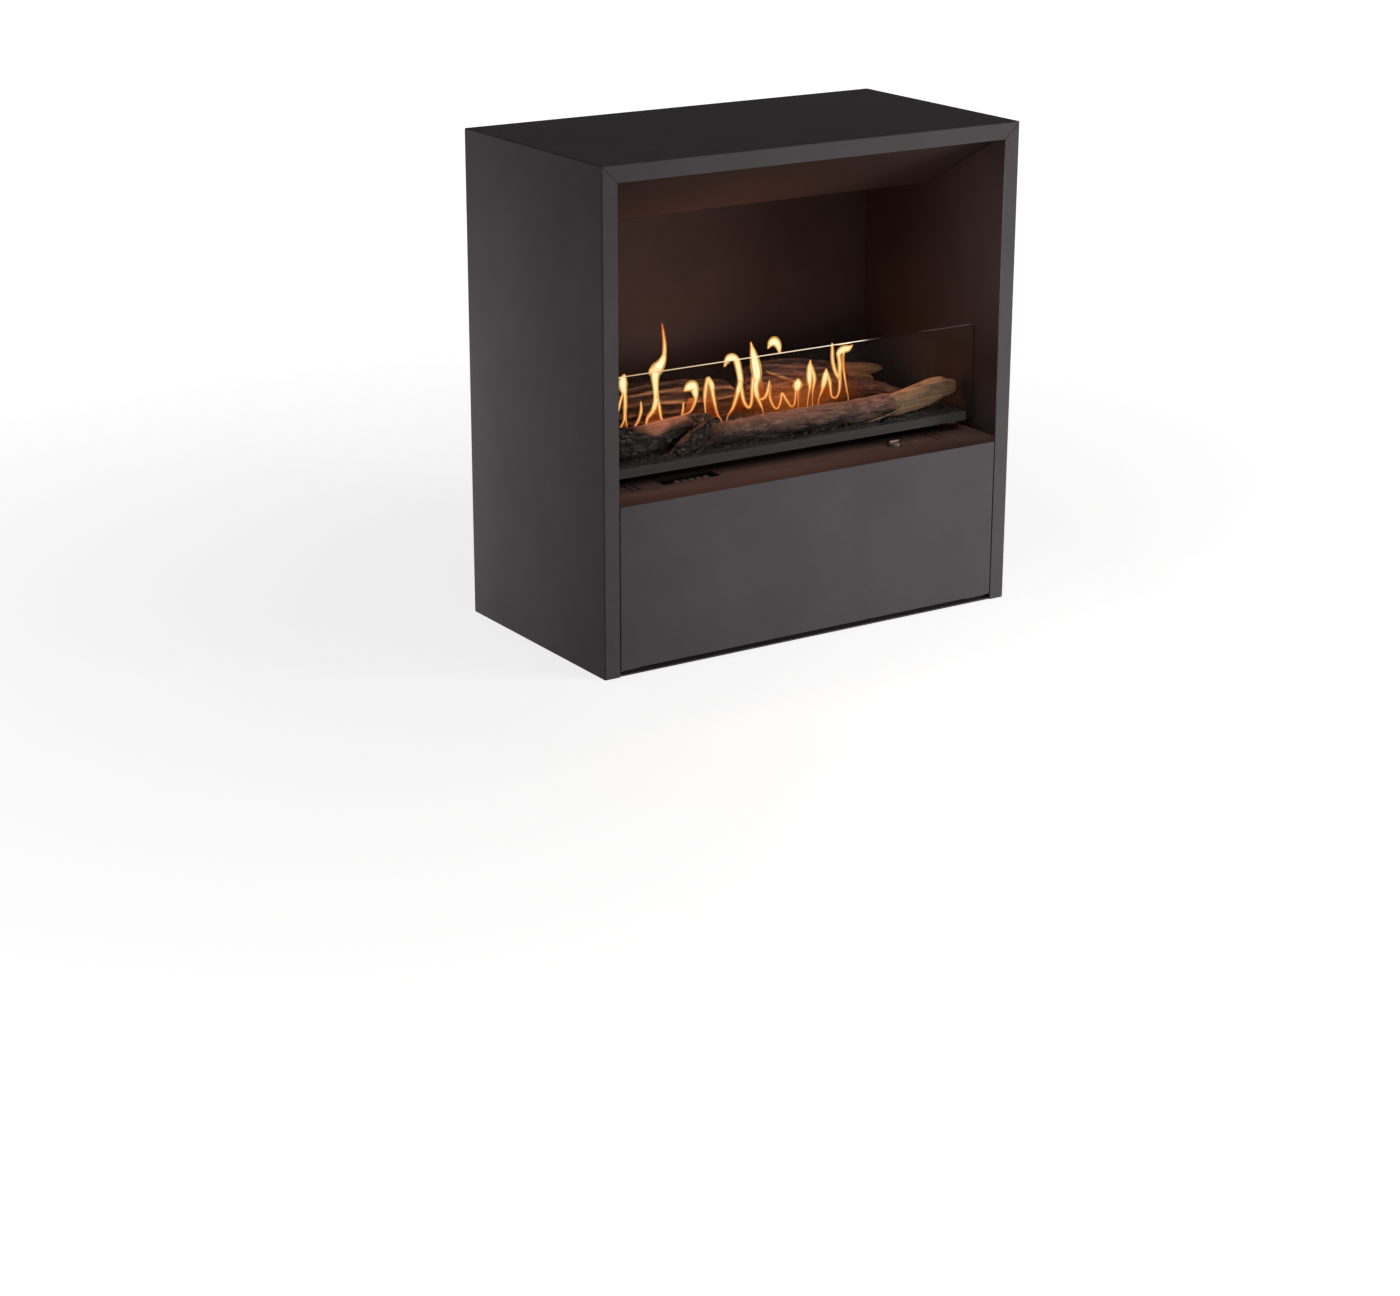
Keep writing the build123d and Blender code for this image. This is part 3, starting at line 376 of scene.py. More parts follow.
def circuit_board():
    """Green solder mask over a maze of copper tracks."""
    s = Surface("circuit_board", srgb(22, 74, 44), 0.35, Specular_IOR_Level=0.6)
    track = s.cells(320, feature="DISTANCE_TO_EDGE")
    copper = s.levels(track, 0.06, 0.03)
    pads = s.levels(s.cells(210), 0.16, 0.12)
    mask = s.mix(copper, srgb(20, 66, 40), srgb(46, 104, 56))
    s.put("Base Color", s.mix(pads, mask, srgb(178, 170, 140)))
    s.put("Metallic", pads)
    s.bump(s.sum(copper, pads, 1.5), 0.00006)
    return s.material


def pane_glass():
    """Clear low-reflection glass with faint dust."""
    s = Surface("pane_glass", srgb(246, 250, 248), 0.0, Transmission_Weight=1.0, IOR=1.05)
    s.put("Base Color", s.mix(s.noise(18, detail=6), srgb(250, 253, 251), srgb(240, 243, 241)))
    return s.material


def pane_edge_painted_glow():
    """Polished edge with painted light: a painted firelight reflection on its left two thirds, then
    dark, then a faint painted stretch; the edge glows on its own.
    """
    s = Surface("pane_edge_painted_glow", srgb(12, 13, 12), 0.2, Specular_IOR_Level=0.02)
    ripple = s.noise(1.0, detail=3, where=s.stretched(60, 900, 900))
    along = s.sum(s.axis("X"), ripple, 0.004)
    seen = s.ramp(
        s.levels(along, -0.32, 0.32),
        (0.0, srgb(186, 150, 118)), (0.3, srgb(236, 206, 170)), (0.695, srgb(255, 240, 214)),
        (0.715, srgb(96, 72, 56)), (0.75, srgb(14, 10, 8)), (0.84, srgb(16, 14, 13)),
        (0.865, srgb(66, 62, 59)), (0.982, srgb(66, 62, 59)), (0.99, srgb(14, 12, 11)),
    )
    # Painted light: the edge glows with painted firelight and reflection, with no lamp behind it.
    s.put("Emission Color", seen)
    s.put("Emission Strength", 1.25)
    s.bump(ripple, 0.00003)
    return s.material


# -------- stone, bark and fire
def lava_stone():
    """Black porous lava."""
    s = Surface("lava_stone", srgb(34, 31, 30), 0.85, Specular_IOR_Level=0.3)
    pores = s.cells(750)
    tone = s.sum(s.noise(180, detail=6), pores, 0.6)
    s.put("Base Color", s.mix(s.levels(tone, 0.5, 1.1), srgb(9, 8, 8), srgb(38, 34, 32)))
    s.put("Roughness", s.levels(pores, 0.0, 0.6, 0.95, 0.7))
    s.bump(s.sum(pores, s.noise(1500), 0.5), 0.0006)
    return s.material


def wood(name, tones, bare_dark, bare_light):
    """Bark in four tones by its relief, and fibre lines where the bark is gone."""
    crack, dark, mid, light = tones
    s = Surface(name, mid, 0.85, Specular_IOR_Level=0.06)
    fine = s.noise(420, detail=6, rough=0.7)
    height = s.levels(s.sum(s.attribute("relief"), fine, 0.7), 0.35, 1.25)
    bark = s.ramp(height, (0.0, crack), (0.3, dark), (0.6, mid), (1.0, light))
    fibre = s.noise(1.0, detail=6, rough=0.62, where=s.stretched(14, 330, 330))
    stain = s.noise(24, detail=4)
    plain = s.mix(s.levels(s.sum(fibre, stain, 0.5), 0.5, 1.0), bare_dark, bare_light)
    bare = s.levels(s.sum(s.attribute("bare"), fine, 0.3), 0.38, 0.95)
    s.put("Base Color", s.mix(bare, bark, plain))
    s.put("Roughness", s.levels(fibre, 0.3, 0.7, 0.72, 0.9))
    s.bump(s.sum(fine, fibre, 0.7), 0.001)
    return s.material


def charred_log():
    bark = srgb(6, 5, 5), srgb(14, 11, 10), srgb(27, 22, 19), srgb(58, 48, 42)
    return wood("charred_log", bark, srgb(64, 42, 34), srgb(124, 87, 70))


def bark_log():
    bark = srgb(9, 7, 6), srgb(38, 28, 24), srgb(76, 56, 49), srgb(114, 86, 75)
    return wood("bark_log", bark, srgb(47, 35, 26), srgb(116, 91, 69))


def weathered_log():
    bark = srgb(13, 9, 7), srgb(50, 36, 27), srgb(106, 80, 58), srgb(174, 136, 104)
    return wood("weathered_log", bark, srgb(74, 57, 42), srgb(148, 118, 91))


def glowing(name):
    """Black surface that only gives off light."""
    return Surface(name, srgb(0, 0, 0), 1.0, Specular_IOR_Level=0.0)


def flame_material(name, foot, body, head, strength, cover):
    """Glowing gas: colour by heat from the foot to the head of a tongue."""
    s = glowing(name)
    heat = s.sum(s.attribute("glow"), s.noise(110, detail=3), 0.3)
    colour = s.ramp(s.levels(heat, 0.1, 1.15), (0.0, foot), (0.45, body), (1.0, head))
    s.put("Emission Color", colour)
    s.put("Emission Strength", strength)
    s.put("Alpha", s.levels(heat, 0.05, 0.8, 0.3 * cover, cover))
    return s.material


def flame_core():
    tones = srgb(240, 120, 44), srgb(255, 214, 140), srgb(255, 246, 212)
    return flame_material("flame_core", *tones, strength=1.5, cover=1.0)


def flame_shell():
    tones = srgb(176, 56, 16), srgb(240, 128, 38), srgb(255, 192, 94)
    return flame_material("flame_shell", *tones, strength=0.95, cover=0.42)


def flame_veil():
    tones = srgb(150, 48, 12), srgb(214, 96, 30), srgb(246, 150, 62)
    return flame_material("flame_veil", *tones, strength=0.75, cover=0.48)


def flame_haze_painted_glow(middle, reach):
    """Faint glow of hot gas and painted firelight on the logs behind the flames, fading out evenly
    around its middle.
    """
    s = glowing("flame_haze_painted_glow")
    scale = (1 / reach[0], 0, 1 / reach[1])
    shift = (-middle[0] / reach[0], 0, -middle[1] / reach[1])
    place = s.node("ShaderNodeMapping", Scale=scale, Location=shift, Vector=s.place)
    ball = s.node("ShaderNodeTexGradient", Vector=place.outputs["Vector"])
    ball.gradient_type = "SPHERICAL"
    fade = ball.outputs["Fac"]
    body = s.sum(fade, s.noise(60, detail=3), 0.25)
    s.put("Emission Color", s.ramp(body, (0.1, srgb(120, 40, 14)), (0.9, srgb(168, 84, 28))))
    s.put("Emission Strength", 1.0)
    s.put("Alpha", s.levels(fade, 0.06, 0.95, 0.0, 0.38))
    return s.material


# -------- paint the CAD nodes
MAKERS = (
    casing_paint, firebox_paint, galvanised, screw_steel, magnet_plating, stainless,
    rail_metal, chrome_cap, float_plastic, pump_body, hose_rubber, black_plastic,
    window_plastic, lens_plastic, key_plastic, circuit_board, supply_case, seat_silicone,
    pane_glass, lava_stone, charred_log, bark_log, weathered_log,
)
FINISH = {maker.__name__: maker() for maker in MAKERS}


def paint_nodes():
    """Every CAD node takes the finish of its slot; three take a finish of their own, the deck's
    with painted firelight in its colour.
    """
    for part in frame["record"]["subparts"]:
        mesh = NODES[part["node"]].data
        mesh.materials.clear()
        mesh.materials.append(FINISH[part["material_slot"]])
    NODES["deck_plate"].data.materials[0] = deck_painted_firelight()
    scorched = scorched_steel()
    for name in ("burner_top", "flame_collar"):
        NODES[name].data.materials[0] = scorched


def paint_pane_edge_glow():
    """The pane's top and right-hand faces take the painted edge glow."""
    pane = NODES["glass_pane"]
    pane.data.materials.append(pane_edge_painted_glow())
    for face in pane.data.polygons:
        if max(face.normal.z, face.normal.x) > 0.9:
            face.material_index = 1
    pane.visible_shadow = False


# -------- mesh helpers
def spline(points, t):
    """Values at t along a smooth curve through the points."""
    i = min(int(t), len(points) - 2)
    f = t - i
    before, after = points[max(i - 1, 0)], points[min(i + 2, len(points) - 1)]
    out = []
    for a, b, c, d in zip(before, points[i], points[i + 1], after):
        bend = (c - a) * f + (2 * a - 5 * b + 4 * c - d) * f**2 + (3 * b - a - 3 * c + d) * f**3
        out.append(0.5 * (2 * b + bend))
    return out


def skin(rings):
    """Vertices and faces of a closed skin over rings of equal size."""
    count = len(rings[0])
    verts = [point for ring in rings for point in ring]
    faces = []
    for r in range(len(rings) - 1):
        for k in range(count):
            a = r * count + k
            b = r * count + (k + 1) % count
            faces.append((a, b, b + count, a + count))
    for ring, first in ((0, True), (len(rings) - 1, False)):
        centre = len(verts)
        verts.append(sum(rings[ring], Vector()) / count)
        for k in range(count):
            a = ring * count + k
            b = ring * count + (k + 1) % count
            faces.append((b, a, centre) if first else (a, b, centre))
    return verts, faces


def add_skin(verts, faces, new_verts, new_faces):
    """Join one more skin to a mesh in the making."""
    start = len(verts)
    verts += new_verts
    faces += [tuple(start + i for i in face) for face in new_faces]


def mesh_object(name, verts, faces, material, smooth=True, **values):
    """An object of one material, with per-vertex values stored under their names."""
    mesh = bpy.data.meshes.new(name)
    mesh.from_pydata(verts, [], faces)
    mesh.validate()
    for key, numbers in values.items():
        layer = mesh.attributes.new(key, "FLOAT", "POINT")
        layer.data.foreach_set("value", numbers)
    mesh.polygons.foreach_set("use_smooth", [smooth] * len(mesh.polygons))
    mesh.materials.append(material)
    mesh.update()
    obj = bpy.data.objects.new(name, mesh)
    bpy.context.scene.collection.objects.link(obj)
    return obj


# -------- logs
# A relief gives three values for a point on a log: how far it is pushed out, in metres,
# how high it counts for the bark's colour, and how bare the wood is there.
PEELED_MIDDLE = -0.17
PEELED_REACH = 0.042
BURNT_END = -0.105
REST_DEPTH = 0.0006
LUMPINESS = 0.09
RAGGED = 0.0012
END_HEIGHT = 0.4


def clamp(value, low=0.0, high=1.0):
    return max(low, min(high, value))


def plates(point, along, across, seed):
    """Bark plates parted by cracks: 0 in a crack, 1 on a plate."""
    p = Vector((point.x * along, point.y * across, point.z * across)) + seed
    wander = noise.noise_vector(p * 0.6) * 0.6
    near = noise.voronoi(p + wander)[0]
    return clamp((near[1] - near[0]) * 2.4)


def crumbs(point, size, seed):
    """Fine rough relief between 0 and 1."""
    return clamp(0.5 + 0.7 * noise.fractal(point * (1 / size) + seed, 0.9, 2.1, 4))


def char_relief(point, angle, seed):
    """Charred crust below and at the sides, smooth bare wood along the top's middle."""
    rough = 0.45 * plates(point, 95, 150, seed) + 0.55 * crumbs(point, 0.005, seed)
    edge = math.sin(angle) + 0.5 * noise.noise(point * 42 + seed)
    middle = clamp(1.35 - abs(point.x - PEELED_MIDDLE) / PEELED_REACH)
    bare = clamp((edge - 0.3) * 1.8) * middle
    return (1 - bare) * 0.0042 * (rough - 0.35) + bare * 0.0008, rough, bare


def branch_relief(point, angle, seed):
    """Charred crust with one lighter ridge of bare-wood colour along the top."""
    rough = 0.45 * plates(point, 110, 170, seed) + 0.55 * crumbs(point, 0.0045, seed)
    bare = clamp((math.sin(angle) + 0.35 * noise.noise(point * 60 + seed) - 0.82) * 7)
    return (1 - bare) * 0.0034 * (rough - 0.35), rough, 0.42 * bare


def bark_relief(point, angle, seed):
    """Fine ribbed bark, torn into fissures low down, burnt at its left end; its lower side and
    fissures are painted darker as shade.
    """
    ribs = crumbs(Vector((point.x * 0.3, point.y, point.z)), 0.0036, seed)
    grit = crumbs(point, 0.0032, seed * 2)
    across = plates(point, 34, 9, seed * 3)
    lower = clamp(0.45 - math.sin(angle))
    torn = plates(point, 17, 90, seed * 2)
    fissure = lower * (1 - torn)
    rough = 0.22 + 0.62 * ((0.55 * ribs + 0.45 * grit) * (0.7 + 0.3 * across))
    # Painted shade: the fissures are darkened in colour.
    rough *= 1 - 0.85 * fissure
    burnt = 1 - clamp((point.x - BURNT_END) / 0.05)
    push = (0.0022 + 0.0024 * burnt) * (rough - 0.35) - 0.0028 * fissure
    # Painted shade: the lower side is darker in colour.
    return push, rough * (1 - 0.4 * lower) * (1 - 0.45 * burnt), 0.0


def split_relief(point, angle, seed):
    """Dry split timber: broad flats with long fine grooves."""
    turn = angle * 1.9 + 1.1 * noise.noise(Vector((point.x * 8, angle, 3)) + seed)
    flat = turn - math.floor(turn)
    grain = crumbs(Vector((point.x * 0.16, point.y, point.z)), 0.0042, seed)
    push = 0.0034 * (flat - 0.5) + 0.0016 * (grain - 0.5)
    return push, 0.05 + 0.6 * clamp(0.7 * grain + 0.3 * flat), 0.2 * flat


def burnt_relief(point, angle, seed):
    """Split timber burnt dark all over."""
    push, height, _ = split_relief(point, angle, seed)
    return push, 0.62 * height, 0.0


def ledge_relief(point, angle, seed):
    """Weathered timber with long uneven ledges, their edges painted lighter as a highlight."""
    turn = angle * 2.1 + 0.9 * noise.noise(Vector((point.x * 7, angle * 0.8, 0)) + seed)
    number = math.floor(turn)
    depth = 0.5 + 0.5 * noise.noise(Vector((number * 3.7, point.x * 4, 1)) + seed)
    step = turn - number
    ledge = clamp(step * 1.3) ** 2 - clamp((step - 0.9) * 10)
    grain = crumbs(Vector((point.x * 0.22, point.y, point.z)), 0.0045, seed)
    crack = plates(point, 9, 90, seed)
    push = 0.006 * depth * (ledge - 0.4) + 0.0016 * (grain - 0.5) - 0.0012 * (1 - crack)
    # Painted highlight: the colour height and bareness rise towards each ledge's edge.
    height = clamp(0.25 * grain + 0.75 * ledge * depth) * (0.5 + 0.5 * crack)
    return push, height, 0.3 * ledge


def fibre_relief(point, angle, seed):
    """Split pale wood: fibres along the length."""
    fibre = crumbs(Vector((point.x * 0.1, point.y, point.z)), 0.004, seed)
    return 0.0016 * (fibre - 0.5), fibre, 1.0


def blade_relief(point, angle, seed):
    """Split pale wood with a few sharp grooves along it."""
    push, fibre, _ = fibre_relief(point, angle, seed)
    groove = 1.5 * angle + 7 * point.x + 0.6 * noise.noise(point * 30 + seed)
    ridge = abs(math.sin(groove))
    return push + 0.002 * (ridge - 0.7), fibre * (0.4 + 0.6 * ridge), 0.7 + 0.4 * ridge


def grow_log(name, stations, seed_number, relief, slot, pitch=0.0018, around=84):
    """A lumpy, flat-bedded log through (x, y, z, half width, half height) in millimetres.

    Its rings are pitch apart, in metres, and each has around points.
    """
    seed = Vector((seed_number * 7.3, seed_number * 3.1, seed_number * 5.7))
    length = (stations[-1][0] - stations[0][0]) / 1000
    rows = max(8, int(length / pitch))
    rings, heights, bares = [], [], []
    for r in range(rows + 1):
        t = (len(stations) - 1) * r / rows
        x, y, z, wide, high = (v / 1000 for v in spline(stations, t))
        ring = []
        for k in range(around):
            angle = math.tau * k / around
            out = Vector((0, math.cos(angle), math.sin(angle)))
            lump = 1 + LUMPINESS * noise.noise(Vector((x * 14, out.y, out.z)) + seed)
            point = Vector((x, y + wide * lump * out.y, z + high * lump * out.z))
            push, height, bare = relief(point, angle, seed)
            point += out * push
            point.x += RAGGED * noise.noise(point * 90 + seed)
            point.z = max(point.z, GRAVEL_TOP - REST_DEPTH)
            ring.append(point)
            heights.append(height)
            bares.append(bare)
        rings.append(ring)
    # The points in the middle of both ends, where the wood is bare.
    heights += [END_HEIGHT, END_HEIGHT]
    bares += [1.0, 1.0]
    log = mesh_object(name, *skin(rings), FINISH[slot], relief=heights, bare=bares)
    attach(log, "log_bed")
    return log


def make_left_log():
    """Charred log at the front left."""
    stations = (
        (-291, -62, 271, 9, 9), (-286, -62, 273, 16, 15.5), (-270, -61, 274, 17, 18),
        (-240, -60, 275.5, 17.5, 19), (-200, -59, 275.5, 18, 18.5), (-165, -58, 278, 17, 18),
        (-135, -57, 281.5, 15, 16), (-112, -56, 283.5, 12.5, 13), (-98, -56, 285, 10, 11),
        (-90, -56, 285.5, 7, 8), (-86, -56, 285.5, 2.5, 4),
    )
    log = grow_log("charred_front_log", stations, 1, char_relief, "charred_log")
    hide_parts("front_left_log")


def make_forked_branch():
    """Short charred branch that leans on the gravel, with a second prong."""
    stations = (
        (-174, -86, 254.5, 2, 3), (-168, -86, 257, 5, 7), (-157, -86, 262.5, 7.5, 11),
        (-142, -86, 270, 8.5, 13.5), (-126, -86, 278.5, 8, 13), (-113, -85, 287, 6.5, 10),
        (-106, -85, 293, 3.5, 5), (-102, -85, 296, 1.2, 2),
    )
    fine = {"pitch": 0.0012, "around": 56}
    log = grow_log("forked_branch_limb", stations, 2, branch_relief, "charred_log", **fine)
    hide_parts("forked_branch")
    stations = (
        (-138, -92, 254, 1.5, 2), (-134, -92, 256.5, 3, 3.5), (-124, -92, 261.5, 3.5, 4.5),
        (-113, -91.5, 267, 3.4, 4.2), (-106, -90.5, 270.5, 2.2, 2.8), (-102, -90, 272, 0.8, 1),
    )
    fine = {"pitch": 0.0012, "around": 48}
    grow_log("forked_branch_prong", stations, 3, branch_relief, "charred_log", **fine)


def make_front_log():
    """Long barked log at the front, with a splinter and a pale split right end."""
    stations = (
        (-107, -77, 265, 5, 6), (-103, -77, 267, 11.5, 11.5), (-84, -76, 270.5, 14.5, 15),
        (-40, -77, 271.5, 15.5, 16), (40, -77, 271.5, 16.5, 16.5),
        (120, -77, 271.5, 16.5, 16.5), (165, -76, 272, 16.5, 17), (186, -76, 272.5, 15.5, 17),
        (195, -76, 271.5, 12.5, 15), (199, -76, 270, 5, 9),
    )
    log = grow_log("bark_front_log", stations, 4, bark_relief, "bark_log")
    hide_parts("front_log")
    stations = (
        (168, -75, 269, 8, 10), (190, -75, 272.5, 12.5, 15.5), (208, -75, 274.5, 13, 17),
        (236, -74, 278, 12, 18.5), (260, -74, 282, 10.5, 18.5), (279, -74, 284.5, 9, 14.8),
        (294, -74, 284, 7.5, 11), (302, -74, 284.5, 6, 8.5), (306, -74, 286, 3, 5),
    )
    grow_log("split_front_end", stations, 5, blade_relief, "bark_log", pitch=0.0012, around=72)
    stations = (
        (138, -92.5, 258.5, 0.6, 0.5), (155, -92.5, 261, 1.2, 0.9),
        (175, -92.5, 264.5, 1.4, 1.1), (192, -91, 268.5, 1.4, 1.2), (204, -88.5, 272, 1, 0.9),
    )
    grow_log("front_log_splinter", stations, 12, fibre_relief, "bark_log", pitch=0.001, around=20)


def make_rear_left_log():
    """Weathered log behind the flames."""
    stations = (
        (-262, 52, 279, 10, 12), (-257, 52, 285, 20, 24), (-240, 52, 289, 25, 30),
        (-170, 51, 289, 26, 31.5), (-110, 50, 287.5, 27, 31), (-50, 50, 285, 26, 29),
        (-8, 50, 283.5, 25, 26), (8, 50, 282, 21, 22), (17, 50, 279, 11, 12),
    )
    log = grow_log("weathered_rear_log", stations, 6, ledge_relief, "weathered_log", around=110)
    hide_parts("rear_left_log")


def make_rear_right_log():
    """Split log behind the flames, its splinter and split ends, and a burnt chunk."""
    stations = (
        (24, 49, 286, 8, 9), (32, 49, 289, 18, 22), (52, 48, 290, 26, 31),
        (90, 49, 289, 29, 32.5), (150, 50, 286, 27, 29), (185, 51, 282, 24, 25),
        (208, 52, 277, 18, 17), (219, 52, 273, 8, 8),
    )
    log = grow_log("bark_rear_log", stations, 7, split_relief, "bark_log", around=110)
    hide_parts("rear_right_log")
    stations = (
        (160, 27, 268, 6, 7), (170, 26, 272, 10, 11), (200, 22, 273, 11, 13),
        (225, 10, 271, 12, 13), (245, -1, 267, 11, 11), (262, -10, 262.5, 8, 7.5),
        (272, -14, 259, 4, 3),
    )
    grow_log("ember_chunk", stations, 14, burnt_relief, "bark_log")
    stations = (
        (52, 20, 318, 2, 1.5), (68, 20, 312, 3, 2.6), (88, 19, 303, 3, 2.6),
        (104, 19, 296, 2, 1.5),
    )
    grow_log("rear_log_splinter", stations, 13, fibre_relief, "bark_log", pitch=0.001, around=24)
    stations = (
        (176, 47, 299, 8, 9), (205, 46, 296.5, 7, 10.5), (232, 46, 293.5, 6, 9),
        (252, 46, 291.5, 5, 6.5), (264, 46, 290.5, 4, 3.8), (268, 46, 290, 2, 1.5),
    )
    grow_log("split_rear_upper", stations, 8, blade_relief, "bark_log", pitch=0.0012, around=56)
    stations = (
        (176, 45, 286, 8, 11), (205, 44, 286, 7, 11.5), (225, 44, 284, 6, 10),
        (240, 44, 280.5, 5, 7), (248, 44, 277.5, 4, 4.2), (251, 44, 276.5, 2, 1.5),
    )
    grow_log("split_rear_lower", stations, 9, blade_relief, "bark_log", pitch=0.0012, around=56)


# -------- gravel
STONE_TRIES = 2200
STONE_SIZES = (0.0022, 0.0050)
STONE_RISE = (-0.001, 0.0012)
STONE_MARGIN = 1.25
STONE_ROWS, STONE_COLUMNS = 5, 8
SLOT_HALF_LENGTH = 0.2075
SLOT_HALF_WIDTH = 0.0175


def stone(rng, centre, size):
    """One angular lava stone as vertices and faces around a centre."""
    verts, faces = [], []
    seed = Vector((rng.random(), rng.random(), rng.random())) * 50
    turn = rng.random() * math.tau
    squash = rng.uniform(0.55, 0.85)
    stretch = rng.uniform(0.75, 1.2)
    for r in range(1, STONE_ROWS):
        lift = math.pi * r / STONE_ROWS
        for c in range(STONE_COLUMNS):
            a = math.tau * c / STONE_COLUMNS + turn
            x, y = math.sin(lift) * math.cos(a) * stretch, math.sin(lift) * math.sin(a)
            out = Vector((x, y, math.cos(lift)))
            radius = size * (1 + 0.5 * noise.noise(out * 1.6 + seed))
            verts.append(centre + Vector((out.x, out.y, out.z * squash)) * radius)
    last = (STONE_ROWS - 2) * STONE_COLUMNS
    for row in range(0, last, STONE_COLUMNS):
        for c in range(STONE_COLUMNS):
            a, b = row + c, row + (c + 1) % STONE_COLUMNS
            faces.append((a, a + STONE_COLUMNS, b + STONE_COLUMNS, b))
    faces.append(tuple(range(STONE_COLUMNS)))
    faces.append(tuple(range(last + STONE_COLUMNS - 1, last - 1, -1)))
    return verts, faces


def make_gravel():
    """Loose stones on the bed; the upstand round the flames stays clear."""
    rng = random.Random(11)
    verts, faces = [], []
    for _ in range(STONE_TRIES):
        size = rng.uniform(*STONE_SIZES)
        margin = size * STONE_MARGIN
        x = rng.uniform(GRAVEL_LOW.x + margin, GRAVEL_HIGH.x - margin)
        y = rng.uniform(GRAVEL_LOW.y + margin, GRAVEL_HIGH.y - margin)
        if abs(x) < SLOT_HALF_LENGTH + margin and abs(y - FLAME_Y) < SLOT_HALF_WIDTH + margin:
            continue
        centre = Vector((x, y, GRAVEL_TOP + rng.uniform(*STONE_RISE)))
        add_skin(verts, faces, *stone(rng, centre, size))
    pebbles = mesh_object("lava_pebbles", verts, faces, FINISH["lava_stone"], smooth=False)
    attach(pebbles, "log_bed")


# -------- flames
# Each tongue is a list of strokes; a stroke is (x, z, radius) in millimetres from its
# head to its foot, in the plane over the flame slot.
TONGUES = (
    (
        (
            (-192, 350, 2.7), (-195, 342, 6.2), (-195, 334, 5.0), (-193, 324, 3.1),
            (-193, 306, 2.7), (-194, 290, 1.8), (-200, 277, 1.2),
        ),
        ((-193, 306, 1.5), (-191, 290, 1.4), (-188, 276, 0.8)),
        ((-196, 328, 1.5), (-201, 315, 1.9), (-203, 304, 1.2)),
    ),
    (
        (
            (-168, 312, 1.0), (-168, 301, 2.2), (-172, 288, 2.2), (-178, 279, 1.8),
            (-182, 274, 1.0),
        ),
    ),
    (
        (
            (-133, 412, 1.5), (-132, 401, 2.3), (-131, 385, 2.8), (-132, 370, 3.4),
            (-136, 360, 6.0), (-142, 352, 8.4), (-144, 343, 5.8), (-143, 327, 3.9),
            (-143, 311, 3.7), (-149, 298, 3.4), (-158, 289, 2.7), (-160, 279, 1.5),
        ),
        ((-143, 325, 2.3), (-139, 303, 2.7), (-137, 288, 2.3), (-134, 280, 1.2)),
        ((-140, 352, 5.8), (-149, 351, 4.3), (-152, 347, 1.9)),
    ),
    (((-99, 301, 1.2), (-100, 291, 1.8), (-103, 282, 1.2)),),
    (
        (
            (-97, 318, 2.7), (-91, 322, 6.2), (-85, 323, 6.2), (-82, 315, 5.0), (-80, 305, 3.1),
            (-83, 295, 2.7), (-89, 287, 1.9), (-102, 282, 1.5),
        ),
    ),
    (
        ((-62, 329, 3.6), (-65, 321, 3.1), (-66, 305, 2.7), (-64, 284, 1.2)),
        (
            (-62, 328, 3.6), (-57, 321, 3.7), (-54, 307, 3.1), (-50, 293, 2.7), (-45, 278, 2.3),
            (-38, 268, 1.0),
        ),
    ),
    (
        (
            (-34, 343, 1.8), (-29, 350, 4.2), (-23, 353, 5.0), (-15, 349, 4.6), (-11, 336, 4.3),
            (-9, 319, 3.9), (-13, 308, 3.5), (-18, 294, 3.1), (-22, 283, 2.7), (-29, 272, 1.2),
        ),
        (
            (-9, 320, 2.7), (-7, 301, 3.0), (-3, 288, 3.0), (4, 281, 2.7), (8, 287, 2.7),
            (10, 303, 2.7), (13, 319, 3.1),
        ),
    ),
    (
        (
            (7, 370, 1.2), (10, 361, 3.1), (13, 351, 5.0), (17, 336, 7.2), (19, 322, 6.5),
            (16, 308, 4.3), (18, 295, 3.5), (23, 283, 2.7), (27, 273, 1.0),
        ),
    ),
    (
        ((40, 312, 1.2), (37, 300, 2.6), (31, 291, 2.6), (21, 289, 1.8)),
        (
            (41, 306, 1.5), (40, 290, 2.3), (45, 277, 2.3), (52, 273, 2.3), (58, 282, 2.3),
            (61, 292, 2.3), (68, 282, 2.3), (76, 272, 2.2), (82, 276, 1.9), (84, 292, 2.2),
        ),
        ((86, 308, 2.6), (86, 304, 5.6), (86, 299, 6.5), (86, 292, 3.4), (88, 280, 1.6)),
    ),
    (
        ((105, 333, 1.2), (104, 323, 3.9), (104, 309, 3.9), (106, 294, 2.7), (104, 275, 1.0)),
        ((106, 325, 2.7), (112, 307, 3.1), (111, 291, 1.9), (112, 274, 0.8)),
    ),
    (((35, 359, 1.5), (39, 365, 4.6), (45, 367, 6.2), (51, 361, 4.6), (54, 350, 1.9)),),
    (
        ((132, 317, 1.5), (131, 310, 4.1), (128, 298, 3.9), (126, 288, 2.6), (122, 276, 1.2)),
        (
            (133, 312, 2.2), (138, 298, 2.8), (140, 286, 2.2), (143, 277, 2.2), (150, 275, 2.2),
            (154, 283, 2.2), (155, 295, 2.6), (155, 310, 2.8),
        ),
    ),
    (
        ((144, 351, 1.3), (144, 340, 2.6), (144, 326, 2.8), (148, 311, 2.8), (155, 300, 2.2)),
        (
            (177, 344, 1.5), (171, 341, 4.1), (162, 340, 5.1), (155, 336, 3.6), (156, 326, 3.2),
            (156, 316, 3.2), (154, 302, 2.8),
        ),
        ((163, 336, 2.2), (162, 317, 1.9), (164, 300, 1.5), (167, 284, 1.3), (170, 272, 0.8)),
    ),
)
